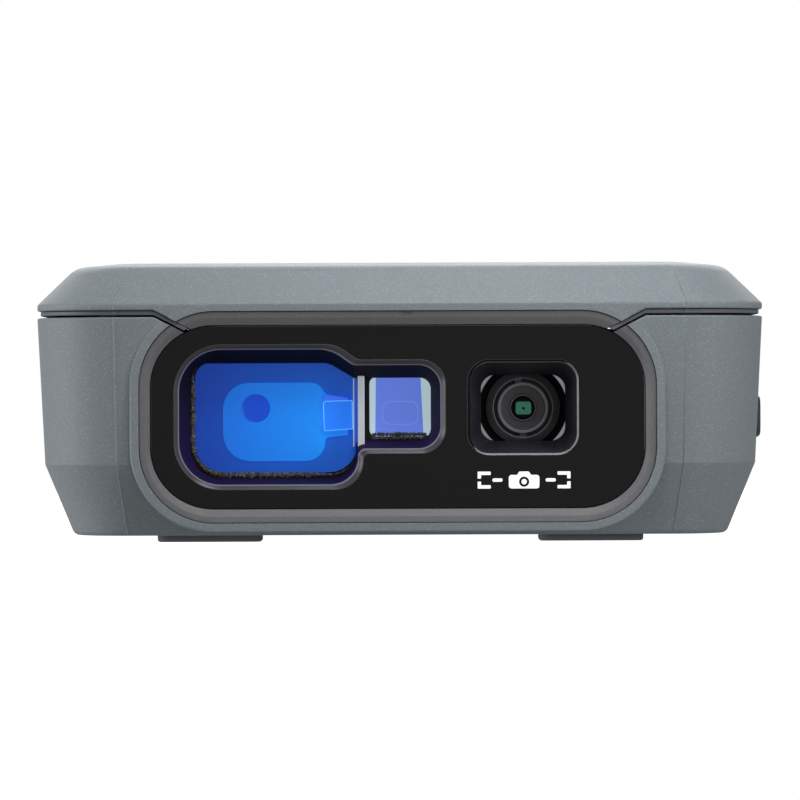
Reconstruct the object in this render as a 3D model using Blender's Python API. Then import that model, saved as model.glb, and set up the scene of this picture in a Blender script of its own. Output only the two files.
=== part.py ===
"""Handheld laser measuring scanner with a camera viewfinder, as an assembly of separate parts.

Frame: X across the body, Y from the front window (-Y) to the rear end (+Y), Z up. The origin lies under
the middle of the body, on the surface that the feet stand on. Every size below is in millimetres, and
solids are made in metres. A depth is counted back from the front measuring face, and a height up from the
standing surface.
"""

import math

import bmesh
import bpy
from mathutils import Vector

MM = 0.001

# ---------------------------------------------------------------- overall sizes
BODY_LENGTH = 142.0
BODY_WIDTH = 64.1
BODY_HEIGHT = 24.2
FOOT_HEIGHT = 0.6

# ---------------------------------------------------------------- housing shape
WALL = 1.8
FLOOR = 1.6
ROOF = 1.6
COLLAR_PROUD = 0.15
COLLAR_LIP = 0.85
BOTTOM_EDGE = 0.4
SIDE_DRAFT = 0.65
LOWER_CHAMFER_INSET = 2.65
LOWER_CHAMFER_HEIGHT = 6.3
UPPER_DEPTH = 4.55
UPPER_LIP_HEIGHT = 0.95
SHOULDER_INSET = 3.15
SHOULDER_DROP = 0.6
CROWN_INSET = 4.2
CROWN_DROP = 0.2
TOP_INSET = 7.2
FRONT_CORNER = (6.45, 9.0)
REAR_CORNER = (8.0, 8.0)
CORNER_SHRINK = 0.64
PARTING_GAP = 0.6
PARTING_DIP = 1.7
SEAL_THICKNESS = 0.28
SEAL_INSET = 0.45
SEAL_WIDTH = 1.1
MOULD_STEPS = 6

# ---------------------------------------------------------------- clearances
GAP = 0.3
FIT = 0.2
RUNNING = 0.09

# ---------------------------------------------------------------- front window
CHEEK = 9.22
WINDOW_ABOVE_BASE = 1.15
WINDOW_ABOVE_PARTING = 0.15
WINDOW_RADIUS = 6.6
TRIM_WIDTH = 0.85
TRIM_BEVEL = 0.4
TRIM_DEPTHS = (0.2, 2.6)
GLASS_DEPTHS = (0.75, 2.05)
HOOD_DEPTHS = (2.35, 5.6)
BEVEL = 0.45
POCKET_TAPER = 1.2
RECEIVER_MARGIN = 2.68
RECEIVER_HEIGHT_MARGIN = 2.9
RECEIVER_RADIUS = 4.2
EMITTER_WIDTH = 7.28
EMITTER_HEIGHT_STEP = 2.28
EMITTER_RAISE = 0.88
EMITTER_RADIUS = 2.2
CAMERA_INSET = 11.9
CAMERA_RAISE = 0.75
CAMERA_TO_EMITTER = 6.9
CAMERA_POCKET = (9.8, 8.3, 1.8)
CAMERA_POCKET_TAPER = 1.05

# ---------------------------------------------------------------- optics
CARRIER_DEPTHS = (5.9, 31.0)
CARRIER_MARGIN = 1.2
LENS_BORDER = 1.5
LENS_THICKNESS = 3.4
LENS_CROWN = 0.45
EMITTER_GLASS_THICKNESS = 1.0
LASER_BARREL_RADIUS = 2.6
LASER_BARREL_LENGTH = 16.0
LASER_BORE_RADIUS = 1.9
COLLIMATOR_RADIUS = 1.8
DIODE_RADIUS = 2.3
DIODE_LENGTH = 3.2
BARRIER_WIDTH = 0.62
DETECTOR_BOARD = 1.0
DETECTOR_SHIELD = 2.4
CAN_SIZE = 9.8
CAN_DEPTHS = (7.2, 10.4)
HOLDER_FLANGE_RADIUS = 4.1
HOLDER_RADIUS = 3.3
CAMERA_BARREL_RADIUS = 2.24
CAMERA_THREAD_RADIUS = 2.6
CAMERA_LENS_RADIUS = 1.3

# ---------------------------------------------------------------- display and keypad
DISPLAY_FRONT_INSET = 9.6
DISPLAY_SIDE_INSET = 9.05
DISPLAY_RADIUS = 3.0
DISPLAY_GLASS_THICKNESS = 1.2
DISPLAY_PROUD = 0.2
DISPLAY_BORDER = 2.6
PANEL_THICKNESS = 2.6
TRAY_FLOOR = 1.0
TRAY_WALL = 1.0
KEY_PITCH = 15.5
KEY_REAR_INSET = 25.0
KEY_EDGE = 16.05
KEY_TO_DISPLAY = 10.5
KEY_SIZE = (11.0, 8.4, 2.6)
CAMERA_KEY_SIZE = (12.0, 8.4, 4.1)
KEY_SPACING = 1.9
KEY_PROUD = 0.7
KEY_TRAVEL = 0.5
KEY_FLANGE = 0.7
KEY_CLEARANCE = 0.25
STEM_RADIUS = 1.6
BOARD_DROP = 7.4
BOARD_THICKNESS = 1.2
MAT_THICKNESS = 1.0
DOME_RADIUS = 2.4
DOME_HEIGHT = 0.4
GRILLE_SLOT = (10.0, 1.2, 2.4)

# ---------------------------------------------------------------- fasteners, battery and fittings
SCREW_INSET = 7.45
SCREW_FRONT_INSET = 12.0
SCREW_REAR_INSET = 11.0
POST_RADIUS = 2.4
BOSS_RADIUS = 3.1
SCREW_HEAD_RADIUS = 1.9
SCREW_HEAD_HEIGHT = 1.3
SCREW_RADIUS = 1.0
SCREW_SEAT = 3.6
SCREW_LENGTH = 9.0
BOSS_FLOOR = 2.0
BATTERY_LENGTH = 48.0
BATTERY_REAR_INSET = 13.5
DOOR_THICKNESS = 1.6
DOOR_MARGIN = 2.2
DOOR_WEB = 0.5
HINGE_PIN_RADIUS = 0.45
HINGE_PIN_LENGTH = 1.2
LATCH_SIZE = (12.0, 5.0)
LATCH_TRAVEL = 1.2
CONTACT_COUNT = 3
CONTACT_PITCH = 5.0
INSERT_RADIUS = 4.6
INSERT_LENGTH = 9.0
THREAD_RADIUS = 3.175
INSERT_BOSS = 6.6
FOOT_SIZE = (9.3, 6.0)
FOOT_SIDE_INSET = 15.1
FOOT_SUNK = 0.3
PLATE_SIZE = (26.0, 12.0)
SIDE_PROUD = 0.35
SIDE_KEY_FRONT_INSET = 13.0
SIDE_KEY_LENGTH = 15.0
SIDE_KEY_HALF_HEIGHT = 1.9
SIDE_KEY_HEIGHT = 10.4
SIDE_KEY_TRAVEL = 0.5
PORT_REAR_INSET = 36.0
PORT_SIZE = (9.0, 3.2)
PORT_WALL = 0.35
FLAP_HALF_HEIGHT = 3.4
FLAP_LENGTH = 14.0
FLAP_THICKNESS = 2.0
FLAP_PIN_RADIUS = 0.5
LEVER_LENGTH = 27.5
LEVER_DEPTH = 5.2
LEVER_HALF_HEIGHT = 2.4
LEVER_PIN_RADIUS = 1.0
LEVER_SETBACK = 0.4
STRAP_POCKET = (7.0, 5.5, 5.0)
STRAP_PIN_RADIUS = 0.75
SPEAKER_RADIUS = 5.5
SPEAKER_HEIGHT = 2.2
ROUND_STEPS = 20

# ---------------------------------------------------------------- places worked out from the sizes
FRONT_Y = -BODY_LENGTH / 2
REAR_Y = BODY_LENGTH / 2
HALF_WIDTH = BODY_WIDTH / 2
BASE_Z = FOOT_HEIGHT
TOP_Z = BASE_Z + BODY_HEIGHT
FLOOR_Z = BASE_Z + FLOOR
ROOF_Z = TOP_Z - ROOF
PARTING_Z = TOP_Z - UPPER_DEPTH
DIP_Z = PARTING_Z - PARTING_DIP
WINDOW_X = HALF_WIDTH - CHEEK
WINDOW_LOW = BASE_Z + WINDOW_ABOVE_BASE
WINDOW_HIGH = PARTING_Z + WINDOW_ABOVE_PARTING
AXIS_Z = (WINDOW_LOW + WINDOW_HIGH) / 2
CAMERA_X = WINDOW_X - CAMERA_INSET
CAMERA_Z = AXIS_Z + CAMERA_RAISE
EMITTER_RIGHT = CAMERA_X - CAMERA_TO_EMITTER
EMITTER_LEFT = EMITTER_RIGHT - EMITTER_WIDTH
EMITTER_Z = AXIS_Z + EMITTER_RAISE
RECEIVER_LEFT = RECEIVER_MARGIN - WINDOW_X
RECEIVER_HALF_HEIGHT = (WINDOW_HIGH - WINDOW_LOW) / 2 - RECEIVER_HEIGHT_MARGIN
EMITTER_HALF_HEIGHT = RECEIVER_HALF_HEIGHT - EMITTER_HEIGHT_STEP
POCKET_INSET = BEVEL + POCKET_TAPER
LASER_X = (EMITTER_LEFT + EMITTER_RIGHT) / 2
SCREW_X = HALF_WIDTH - SCREW_INSET
SCREW_YS = (FRONT_Y + SCREW_FRONT_INSET, REAR_Y - SCREW_REAR_INSET)
INSIDE_X = SCREW_X - BOSS_RADIUS - GAP
BOARD_X = SCREW_X - POST_RADIUS - GAP
BOARD_TOP = TOP_Z - BOARD_DROP
BOARD_LOW = BOARD_TOP - BOARD_THICKNESS
KEY_X = HALF_WIDTH - KEY_EDGE
KEY_YS = [REAR_Y - KEY_REAR_INSET - KEY_PITCH * row for row in (2, 1, 0)]
MEASURE_Y = (KEY_YS[0] + KEY_YS[1]) / 2
MEASURE_RADIUS = KEY_X - KEY_SIZE[0] / 2 - KEY_SPACING
DISPLAY_FRONT = FRONT_Y + DISPLAY_FRONT_INSET
DISPLAY_REAR = KEY_YS[0] - KEY_TO_DISPLAY
DISPLAY_X = HALF_WIDTH - DISPLAY_SIDE_INSET
BATTERY_REAR = REAR_Y - BATTERY_REAR_INSET
BATTERY_FRONT = BATTERY_REAR - BATTERY_LENGTH
DOOR_TOP = BASE_Z + DOOR_THICKNESS
DOOR_FRONT = BATTERY_FRONT + DOOR_MARGIN
DOOR_HINGE = (BATTERY_REAR - DOOR_MARGIN, BASE_Z + DOOR_THICKNESS / 2)
PORT_Y = REAR_Y - PORT_REAR_INSET
PORT_Z = BOARD_LOW - GAP - PORT_SIZE[1] / 2
LEVER_Z = (BASE_Z + LOWER_CHAMFER_HEIGHT + DIP_Z) / 2
LEVER_PIN = (-LEVER_LENGTH / 2, REAR_Y - LEVER_SETBACK - LEVER_DEPTH / 2)
OPTICS_REAR = FRONT_Y + CARRIER_DEPTHS[1] + DETECTOR_BOARD + DETECTOR_SHIELD + 2 * GAP
INSERT_Y = (OPTICS_REAR + BATTERY_FRONT) / 2
SIDE_KEY_Z = BASE_Z + SIDE_KEY_HEIGHT
SIDE_KEY_Y = FRONT_Y + SIDE_KEY_FRONT_INSET + SIDE_KEY_LENGTH / 2
BEYOND = 5.0


# ---------------------------------------------------------------- finishes
def finish(name, colour, roughness, metallic=0.0):
    """A Principled BSDF material; colour is linear red, green, blue."""
    material = bpy.data.materials.get(name)
    if material is None:
        material = bpy.data.materials.new(name)
        material.use_nodes = True
        shader = material.node_tree.nodes["Principled BSDF"]
        shader.inputs["Base Color"].default_value = (*colour, 1.0)
        shader.inputs["Roughness"].default_value = roughness
        shader.inputs["Metallic"].default_value = metallic
    return material


SOFT_GREY = ("soft_grey_overmould", (0.19, 0.215, 0.23), 0.75)
DARK_GREY = ("dark_grey_plastic", (0.07, 0.068, 0.075), 0.6)
BLACK = ("black_plastic", (0.012, 0.012, 0.013), 0.45)
BLACK_GLASS = ("black_glass", (0.011, 0.011, 0.012), 0.06)
BLUE_GLASS = ("blue_coated_glass", (0.01, 0.12, 0.75), 0.08)
VIOLET_GLASS = ("violet_coated_glass", (0.14, 0.2, 0.62), 0.08)
GREEN_GLASS = ("green_coated_glass", (0.03, 0.2, 0.13), 0.05)
LCD_BLACK = ("display_panel", (0.02, 0.03, 0.05), 0.2)
ALLOY = ("die_cast_alloy", (0.55, 0.56, 0.58), 0.45, 1.0)
STEEL = ("steel", (0.6, 0.6, 0.62), 0.3, 1.0)
BRASS = ("brass", (0.78, 0.57, 0.23), 0.3, 1.0)
BOARD_GREEN = ("circuit_board", (0.02, 0.14, 0.06), 0.5)
RUBBER = ("black_rubber", (0.02, 0.02, 0.022), 0.85)
SILICONE = ("silicone_keypad", (0.05, 0.05, 0.055), 0.7)
ORANGE = ("measure_key_orange", (0.75, 0.14, 0.02), 0.5)
CELL_BLUE = ("battery_wrap", (0.03, 0.05, 0.12), 0.4)
LABEL = ("label_silver", (0.6, 0.6, 0.6), 0.4)


# ---------------------------------------------------------------- solids
def mesh_object(name, vertices, faces, material):
    """Makes a closed mesh object from millimetre points, with its faces pointing out."""
    mesh = bpy.data.meshes.new(name)
    mesh.from_pydata([Vector(v) * MM for v in vertices], [], faces)
    work = bmesh.new()
    work.from_mesh(mesh)
    bmesh.ops.recalc_face_normals(work, faces=work.faces)
    work.to_mesh(mesh)
    work.free()
    mesh.materials.append(finish(*material))
    made = bpy.data.objects.new(name, mesh)
    bpy.context.scene.collection.objects.link(made)
    mesh.shade_smooth()
    mesh.set_sharp_from_angle(angle=math.radians(32))
    return made


def loft(name, rings, material, closed=False):
    """A solid through rings of equal point counts. Its ends are capped, or joined to each other if closed."""
    count = len(rings[0])
    vertices = [point for ring in rings for point in ring]
    pairs = list(zip(range(len(rings)), range(1, len(rings))))
    if closed:
        pairs.append((len(rings) - 1, 0))
    faces = [
        (a * count + i, a * count + (i + 1) % count, b * count + (i + 1) % count, b * count + i)
        for a, b in pairs
        for i in range(count)
    ]
    if not closed:
        faces.append(tuple(reversed(range(count))))
        faces.append(tuple(range((len(rings) - 1) * count, len(rings) * count)))
    return mesh_object(name, vertices, faces, material)


def along(axis, outline, station):
    """An outline's (u, v) points in 3D, at a station on an axis: Z takes (x, y), Y (x, z) and X (y, z)."""
    if axis == "Z":
        return [(u, v, station) for u, v in outline]
    if axis == "Y":
        return [(u, station, v) for u, v in outline]
    return [(station, u, v) for u, v in outline]


def prism(name, outline, axis, low, high, material=DARK_GREY):
    """An outline extruded along an axis from low to high."""
    return loft(name, [along(axis, outline, low), along(axis, outline, high)], material)


def box(name, low, high, material=DARK_GREY):
    """A box between two corners."""
    outline = [(low[0], low[1]), (high[0], low[1]), (high[0], high[1]), (low[0], high[1])]
    return prism(name, outline, "Z", low[2], high[2], material)


def turned(name, profile, axis, centre, material, closed=False, steps=ROUND_STEPS):
    """A profile of (radius, station) points turned about an axis that runs through centre."""
    rings = []
    for radius, station in profile:
        turns = [2 * math.pi * i / steps for i in range(steps)]
        outline = [(centre[0] + radius * math.cos(t), centre[1] + radius * math.sin(t)) for t in turns]
        rings.append(along(axis, outline, station))
    return loft(name, rings, material, closed)


def rod(name, radius, axis, centre, low, high, material=STEEL, steps=ROUND_STEPS):
    """A plain cylinder."""
    return turned(name, [(radius, low), (radius, high)], axis, centre, material, steps=steps)


def rounded(corners, steps=4):
    """An outline from (u, v, radius) corners, each turned into an arc, for outward and inward corners alike."""
    points = []
    count = len(corners)
    for i, (u, v, radius) in enumerate(corners):
        here = Vector((u, v))
        back = Vector(corners[i - 1][:2]) - here
        ahead = Vector(corners[(i + 1) % count][:2]) - here
        half = back.angle(ahead) / 2
        reach = min(radius / math.tan(half), 0.49 * back.length, 0.49 * ahead.length)
        radius = reach * math.tan(half)
        middle = here + (back.normalized() + ahead.normalized()).normalized() * (radius / math.sin(half))
        first = here + back.normalized() * reach - middle
        last = here + ahead.normalized() * reach - middle
        turn = math.atan2(first.x * last.y - first.y * last.x, first.dot(last))
        for step in range(steps + 1):
            angle = turn * step / steps
            x = first.x * math.cos(angle) - first.y * math.sin(angle)
            y = first.x * math.sin(angle) + first.y * math.cos(angle)
            points.append((middle.x + x, middle.y + y))
    return points


def slab_outline(u_low, u_high, v_low, v_high, radius, steps=4):
    """A rectangle with round corners."""
    corners = [(u_low, v_low), (u_high, v_low), (u_high, v_high), (u_low, v_high)]
    return rounded([(u, v, radius) for u, v in corners], steps)


def centred_outline(centre, size, radius, grow=0.0, steps=4):
    """A rectangle with round corners about a centre, grown by the same amount on each side."""
    u, v = centre
    half_u = size[0] / 2 + grow
    half_v = size[1] / 2 + grow
    return slab_outline(u - half_u, u + half_u, v - half_v, v + half_v, radius + grow, steps)


def modify(target, operation, others):
    """Adds a Boolean for each other solid and keeps that solid as a hidden cutter."""
    for other in others:
        modifier = target.modifiers.new(f"{operation.lower()} {other.name}", "BOOLEAN")
        modifier.operation = operation
        modifier.object = other
        other.hide_render = True
        other.display_type = "WIRE"
    return target


def cut(target, *others):
    """Takes the other solids away from the target."""
    return modify(target, "DIFFERENCE", others)


def fuse(target, *others):
    """Adds the other solids to the target."""
    return modify(target, "UNION", others)


def trim_to(target, *others):
    """Keeps only what the target shares with the other solids."""
    return modify(target, "INTERSECT", others)


def set_origin(made, point):
    """Moves an object's origin to a point, such as one on its joint's axis, and leaves its shape in place."""
    place = Vector(point) * MM
    for vertex in made.data.vertices:
        vertex.co -= place
    made.location = place


def gather(name, members):
    """Parents the members to an empty, so that they move as one sub-assembly."""
    group = bpy.data.objects.new(name, None)
    bpy.context.scene.collection.objects.link(group)
    for member in members:
        member.parent = group


def bevel_edges(made, width, segments=1):
    """Breaks the solid's sharp edges."""
    modifier = made.modifiers.new("edge break", "BEVEL")
    modifier.width = width * MM
    modifier.segments = segments
    modifier.limit_method = "ANGLE"
    modifier.angle_limit = math.radians(40)
    return made


# ---------------------------------------------------------------- shared outlines
def outer_profile():
    """(height, inset) pairs of the housing's outer surface, from the base to the top."""
    return [
        (BASE_Z, SIDE_DRAFT + LOWER_CHAMFER_INSET + BOTTOM_EDGE),
        (BASE_Z + BOTTOM_EDGE, SIDE_DRAFT + LOWER_CHAMFER_INSET),
        (BASE_Z + LOWER_CHAMFER_HEIGHT, SIDE_DRAFT),
        (PARTING_Z, 0.0),
        (PARTING_Z + UPPER_LIP_HEIGHT, 0.0),
        (TOP_Z - SHOULDER_DROP, SHOULDER_INSET),
        (TOP_Z - CROWN_DROP, CROWN_INSET),
        (TOP_Z, TOP_INSET),
    ]


def inset_at(height):
    """How far the outer surface lies inside the widest outline at a height."""
    profile = outer_profile()
    for (low, inset_low), (high, inset_high) in zip(profile, profile[1:]):
        if height <= high:
            share = (height - low) / (high - low)
            return inset_low + share * (inset_high - inset_low)
    return profile[-1][1]


def body_outline(inset):
    """The housing's plan outline moved in by an inset, with quarter ellipses at its corners."""
    x = HALF_WIDTH - inset
    front = FRONT_Y + COLLAR_PROUD + inset
    rear = REAR_Y - inset
    points = []
    for side, end, corner, start in (
        (1, front, FRONT_CORNER, -90),
        (1, rear, REAR_CORNER, 0),
        (-1, rear, REAR_CORNER, 90),
        (-1, front, FRONT_CORNER, 180),
    ):
        across = max(corner[0] - CORNER_SHRINK * inset, BOTTOM_EDGE)
        back = max(corner[1] - CORNER_SHRINK * inset, BOTTOM_EDGE)
        middle_x = side * (x - across)
        middle_y = end + back if end < 0 else end - back
        for step in range(MOULD_STEPS + 1):
            angle = math.radians(start + 90 * step / MOULD_STEPS)
            points.append((middle_x + across * math.cos(angle), middle_y + back * math.sin(angle)))
    return points


def body_rings(levels):
    """Rings of the housing's plan outline at (height, inset) levels."""
    return [along("Z", body_outline(inset), height) for height, inset in levels]


def parting_band(name, low, high):
    """The space between two heights above the parting line, which drops between the window's upper corners."""
    knee = WINDOW_X - 1.1
    foot = WINDOW_X - 4.4
    far = HALF_WIDTH + BEYOND

    def line(offset):
        return [
            (-far, PARTING_Z + offset),
            (-knee, PARTING_Z + offset),
            (-foot, DIP_Z + offset),
            (foot, DIP_Z + offset),
            (knee, PARTING_Z + offset),
            (far, PARTING_Z + offset),
        ]

    outline = line(low) + line(high)[::-1]
    return prism(name, outline, "Y", FRONT_Y - BEYOND, REAR_Y + BEYOND)


def window_outline(grow, steps=6):
    """The front window's outline, where grow 0 is the trim's outer edge."""
    return slab_outline(
        -WINDOW_X - grow, WINDOW_X + grow, WINDOW_LOW - grow, WINDOW_HIGH + grow, WINDOW_RADIUS + grow, steps
    )


def window_cutter(name, grow, depth=BEYOND):
    """A cutter through the front wall."""
    return prism(name, window_outline(grow), "Y", FRONT_Y - BEYOND, FRONT_Y + depth)


def keyhole_outline(inset, steps=4):
    """The outline that joins the receiver's large lobe to the emitter's small one."""
    left = RECEIVER_LEFT + inset
    neck = EMITTER_LEFT - inset
    right = EMITTER_RIGHT - inset
    low = AXIS_Z - RECEIVER_HALF_HEIGHT + inset
    high = AXIS_Z + RECEIVER_HALF_HEIGHT - inset
    small_low = EMITTER_Z - EMITTER_HALF_HEIGHT + inset
    small_high = EMITTER_Z + EMITTER_HALF_HEIGHT - inset
    slope = high - small_high
    return rounded(
        [
            (left, low, RECEIVER_RADIUS - inset),
            (neck, low, 2.4 - inset / 2),
            (neck, small_low, 0.7 + inset / 4),
            (right, small_low, EMITTER_RADIUS - inset / 2),
            (right, small_high, EMITTER_RADIUS - inset / 2),
            (neck - 0.45, small_high, 0.9 + inset / 4),
            (neck - 0.45 - 1.4 * slope, high, 2.2),
            (left, high, RECEIVER_RADIUS - inset),
        ],
        steps,
    )


def camera_outline(inset, grow=0.0):
    """The outline of the camera's pocket in the front window."""
    width, height, radius = CAMERA_POCKET
    size = (width - 2 * inset, height - 2 * inset)
    return centred_outline((CAMERA_X, CAMERA_Z), size, radius - inset / 2, grow)


def lens_outline(grow=0.0):
    """The receiver lens's outline."""
    return slab_outline(
        RECEIVER_LEFT + LENS_BORDER - grow,
        EMITTER_LEFT - 0.5 + grow,
        AXIS_Z - RECEIVER_HALF_HEIGHT + LENS_BORDER - grow,
        AXIS_Z + RECEIVER_HALF_HEIGHT - LENS_BORDER + grow,
        RECEIVER_RADIUS - LENS_BORDER + 1.0 + grow,
    )


def emitter_outline(grow=0.0):
    """The emitter window's outline."""
    return slab_outline(
        EMITTER_LEFT + 0.72 - grow,
        EMITTER_RIGHT - 1.25 + grow,
        EMITTER_Z - EMITTER_HALF_HEIGHT + 1.5 - grow,
        EMITTER_Z + EMITTER_HALF_HEIGHT - 1.5 + grow,
        0.6 + grow,
    )


# ---------------------------------------------------------------- housing
def screw_places():
    """The four housing screws' (x, y), front left first."""
    return [(side * SCREW_X, y) for y in SCREW_YS for side in (-1, 1)]


def make_lower_housing():
    """The lower shell: a tray with a chamfered keel, a window collar, and pockets for the fittings."""
    levels = outer_profile()[:4] + [(PARTING_Z + 1, 0.0)]
    shell = loft("lower_housing", body_rings(levels), SOFT_GREY)
    collar = prism("lower_collar", window_outline(COLLAR_LIP), "Y", FRONT_Y, FRONT_Y + BEYOND)
    fuse(shell, collar)
    cavity_levels = [
        (FLOOR_Z, inset_at(FLOOR_Z) + WALL),
        (BASE_Z + LOWER_CHAMFER_HEIGHT, SIDE_DRAFT + WALL),
        (PARTING_Z + BEYOND, WALL),
    ]
    cut(shell, loft("lower_cavity", body_rings(cavity_levels), SOFT_GREY))
    seat = SCREW_SEAT + SCREW_HEAD_HEIGHT
    top = seat + BOSS_FLOOR
    for index, (x, y) in enumerate(screw_places()):
        fuse(shell, rod(f"screw_boss_{index}", BOSS_RADIUS, "Z", (x, y), BASE_Z + BOTTOM_EDGE, top))
        cut(
            shell,
            rod(f"screw_sink_{index}", SCREW_HEAD_RADIUS + FIT, "Z", (x, y), -1, seat),
            rod(f"screw_way_{index}", SCREW_RADIUS + FIT, "Z", (x, y), -1, top + 1),
        )
    fuse(shell, rod("insert_boss", INSERT_BOSS, "Z", (0, INSERT_Y), BASE_Z + FLOOR / 2, INSERT_LENGTH + BASE_Z))
    cut(shell, rod("insert_hole", INSERT_RADIUS + FIT, "Z", (0, INSERT_Y), -1, INSERT_LENGTH + BEYOND))
    cut(shell, window_cutter("lower_window", FIT / 2))
    add_lever_slot(shell)
    add_door_opening(shell)
    add_side_openings(shell)
    add_strap_pocket(shell)
    for index, outline in enumerate(foot_outlines(FIT)):
        cut(shell, prism(f"foot_pocket_{index}", outline, "Z", -1, BASE_Z + FOOT_SUNK + FIT))
    cut(shell, prism("plate_pocket", plate_outline(FIT), "Z", -1, BASE_Z + 0.35))
    cut(shell, parting_band("above_parting", -PARTING_GAP / 2, UPPER_DEPTH + BEYOND))
    return shell


def add_lever_slot(shell):
    """A block inside the rear wall that carries the stop lever's slot and its pin."""
    x, y = LEVER_PIN
    reach = LEVER_LENGTH / 2 + LEVER_DEPTH / 2
    slot_back = y - LEVER_DEPTH / 2 - GAP
    low = LEVER_Z - LEVER_HALF_HEIGHT - GAP
    high = LEVER_Z + LEVER_HALF_HEIGHT + GAP
    ear = 1.6
    notch_radius = LEVER_HALF_HEIGHT + ear
    block = box(
        "lever_block",
        (-reach - 2, slot_back - WALL, low - ear),
        (reach + notch_radius + ear, REAR_Y - SIDE_DRAFT - WALL / 2, high + ear),
    )
    slot = box("lever_slot", (-reach - GAP, slot_back, low), (reach + GAP, REAR_Y + BEYOND, high))
    pin_hole = rod("lever_pin_hole", LEVER_PIN_RADIUS + RUNNING, "Z", (x, y), low - ear + GAP, high + ear + 1)
    notch = rod("finger_notch", notch_radius, "Y", (reach, LEVER_Z), y, REAR_Y + BEYOND)
    fuse(shell, block)
    cut(shell, slot, pin_hole, notch)


def door_outline(grow=0.0):
    """The battery door's outline in plan, round at the front corners and square at the hinge."""
    x = INSIDE_X - DOOR_MARGIN + grow
    front = DOOR_FRONT - grow
    rear = DOOR_HINGE[0] + (DOOR_THICKNESS / 2 if grow else 0.0) + grow
    return rounded([(-x, front, 2.0), (x, front, 2.0), (x, rear, 0.3), (-x, rear, 0.3)], 3)


def add_door_opening(shell):
    """The battery door's opening, with holes for its hinge pins and a recess for its latch."""
    reach = INSIDE_X - DOOR_MARGIN + HINGE_PIN_LENGTH + GAP
    cut(
        shell,
        prism("door_opening", door_outline(GAP), "Z", -1, FLOOR_Z + 1),
        rod("hinge_holes", HINGE_PIN_RADIUS + RUNNING, "X", DOOR_HINGE, -reach, reach, steps=12),
        box(
            "latch_recess",
            (-LATCH_SIZE[0] / 2 - GAP, DOOR_FRONT - 1.5, -1),
            (LATCH_SIZE[0] / 2 + GAP, DOOR_FRONT + 1, DOOR_TOP - DOOR_WEB),
        ),
    )


def add_side_openings(shell):
    """The side key's opening on the right and the port flap's recess and hole on the left."""
    key = side_key_outline(KEY_CLEARANCE)
    cut(shell, prism("side_key_opening", key, "X", HALF_WIDTH - BEYOND, HALF_WIDTH + BEYOND))
    flap_front = PORT_Y - FLAP_LENGTH / 2
    flap_rear = PORT_Y + FLAP_LENGTH / 2
    port = centred_outline((PORT_Y, PORT_Z), PORT_SIZE, 1.5, GAP)
    block = box(
        "port_block",
        (-HALF_WIDTH + WALL / 2 + SIDE_DRAFT, flap_front - WALL, PORT_Z - FLAP_HALF_HEIGHT - WALL),
        (flap_inner_x() + FIT + WALL, flap_rear + WALL, PORT_Z + FLAP_HALF_HEIGHT + WALL),
    )
    fuse(shell, block)
    cut(
        shell,
        box(
            "flap_recess",
            (-HALF_WIDTH - BEYOND, flap_front - GAP, PORT_Z - FLAP_HALF_HEIGHT - GAP),
            (flap_inner_x() + FIT, flap_rear + GAP, PORT_Z + FLAP_HALF_HEIGHT + GAP),
        ),
        rod(
            "flap_pin_hole",
            FLAP_PIN_RADIUS + RUNNING,
            "Z",
            flap_pin_place(),
            PORT_Z - FLAP_HALF_HEIGHT - 1.2,
            PORT_Z + FLAP_HALF_HEIGHT + 1.2,
            steps=12,
        ),
        prism("port_hole", port, "X", -HALF_WIDTH - BEYOND, flap_inner_x() + FIT + WALL + GAP),
    )


def add_strap_pocket(shell):
    """A pocket in the rear right corner, crossed by the strap pin, with a block behind it."""
    width, length, height = STRAP_POCKET
    x, y, z = strap_place()
    block = box(
        "strap_block",
        (x - width / 2 - 1.4, y - length / 2 - 1.4, z - height / 2 - 1.4),
        (HALF_WIDTH - SIDE_DRAFT - WALL / 2, y + length / 2 + 1.4, z + height / 2 + 1.4),
    )
    pocket = box(
        "strap_pocket",
        (x - width / 2, y - length / 2, z - height / 2),
        (HALF_WIDTH + BEYOND, y + length / 2, z + height / 2),
    )
    reach = length / 2 + 1.0
    hole = rod(
        "strap_pin_hole", STRAP_PIN_RADIUS + RUNNING, "Y", strap_pin_place(), y - reach, y + reach, steps=12
    )
    fuse(shell, block)
    cut(shell, pocket, hole)


def strap_place():
    """The strap pocket's centre."""
    width, length, height = STRAP_POCKET
    return (HALF_WIDTH - width / 2, PORT_Y + length / 2, PORT_Z - 1.0)


def strap_pin_place():
    """The strap pin's (x, z)."""
    x, _, z = strap_place()
    return (HALF_WIDTH - SIDE_DRAFT - 1.9, z)


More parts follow.
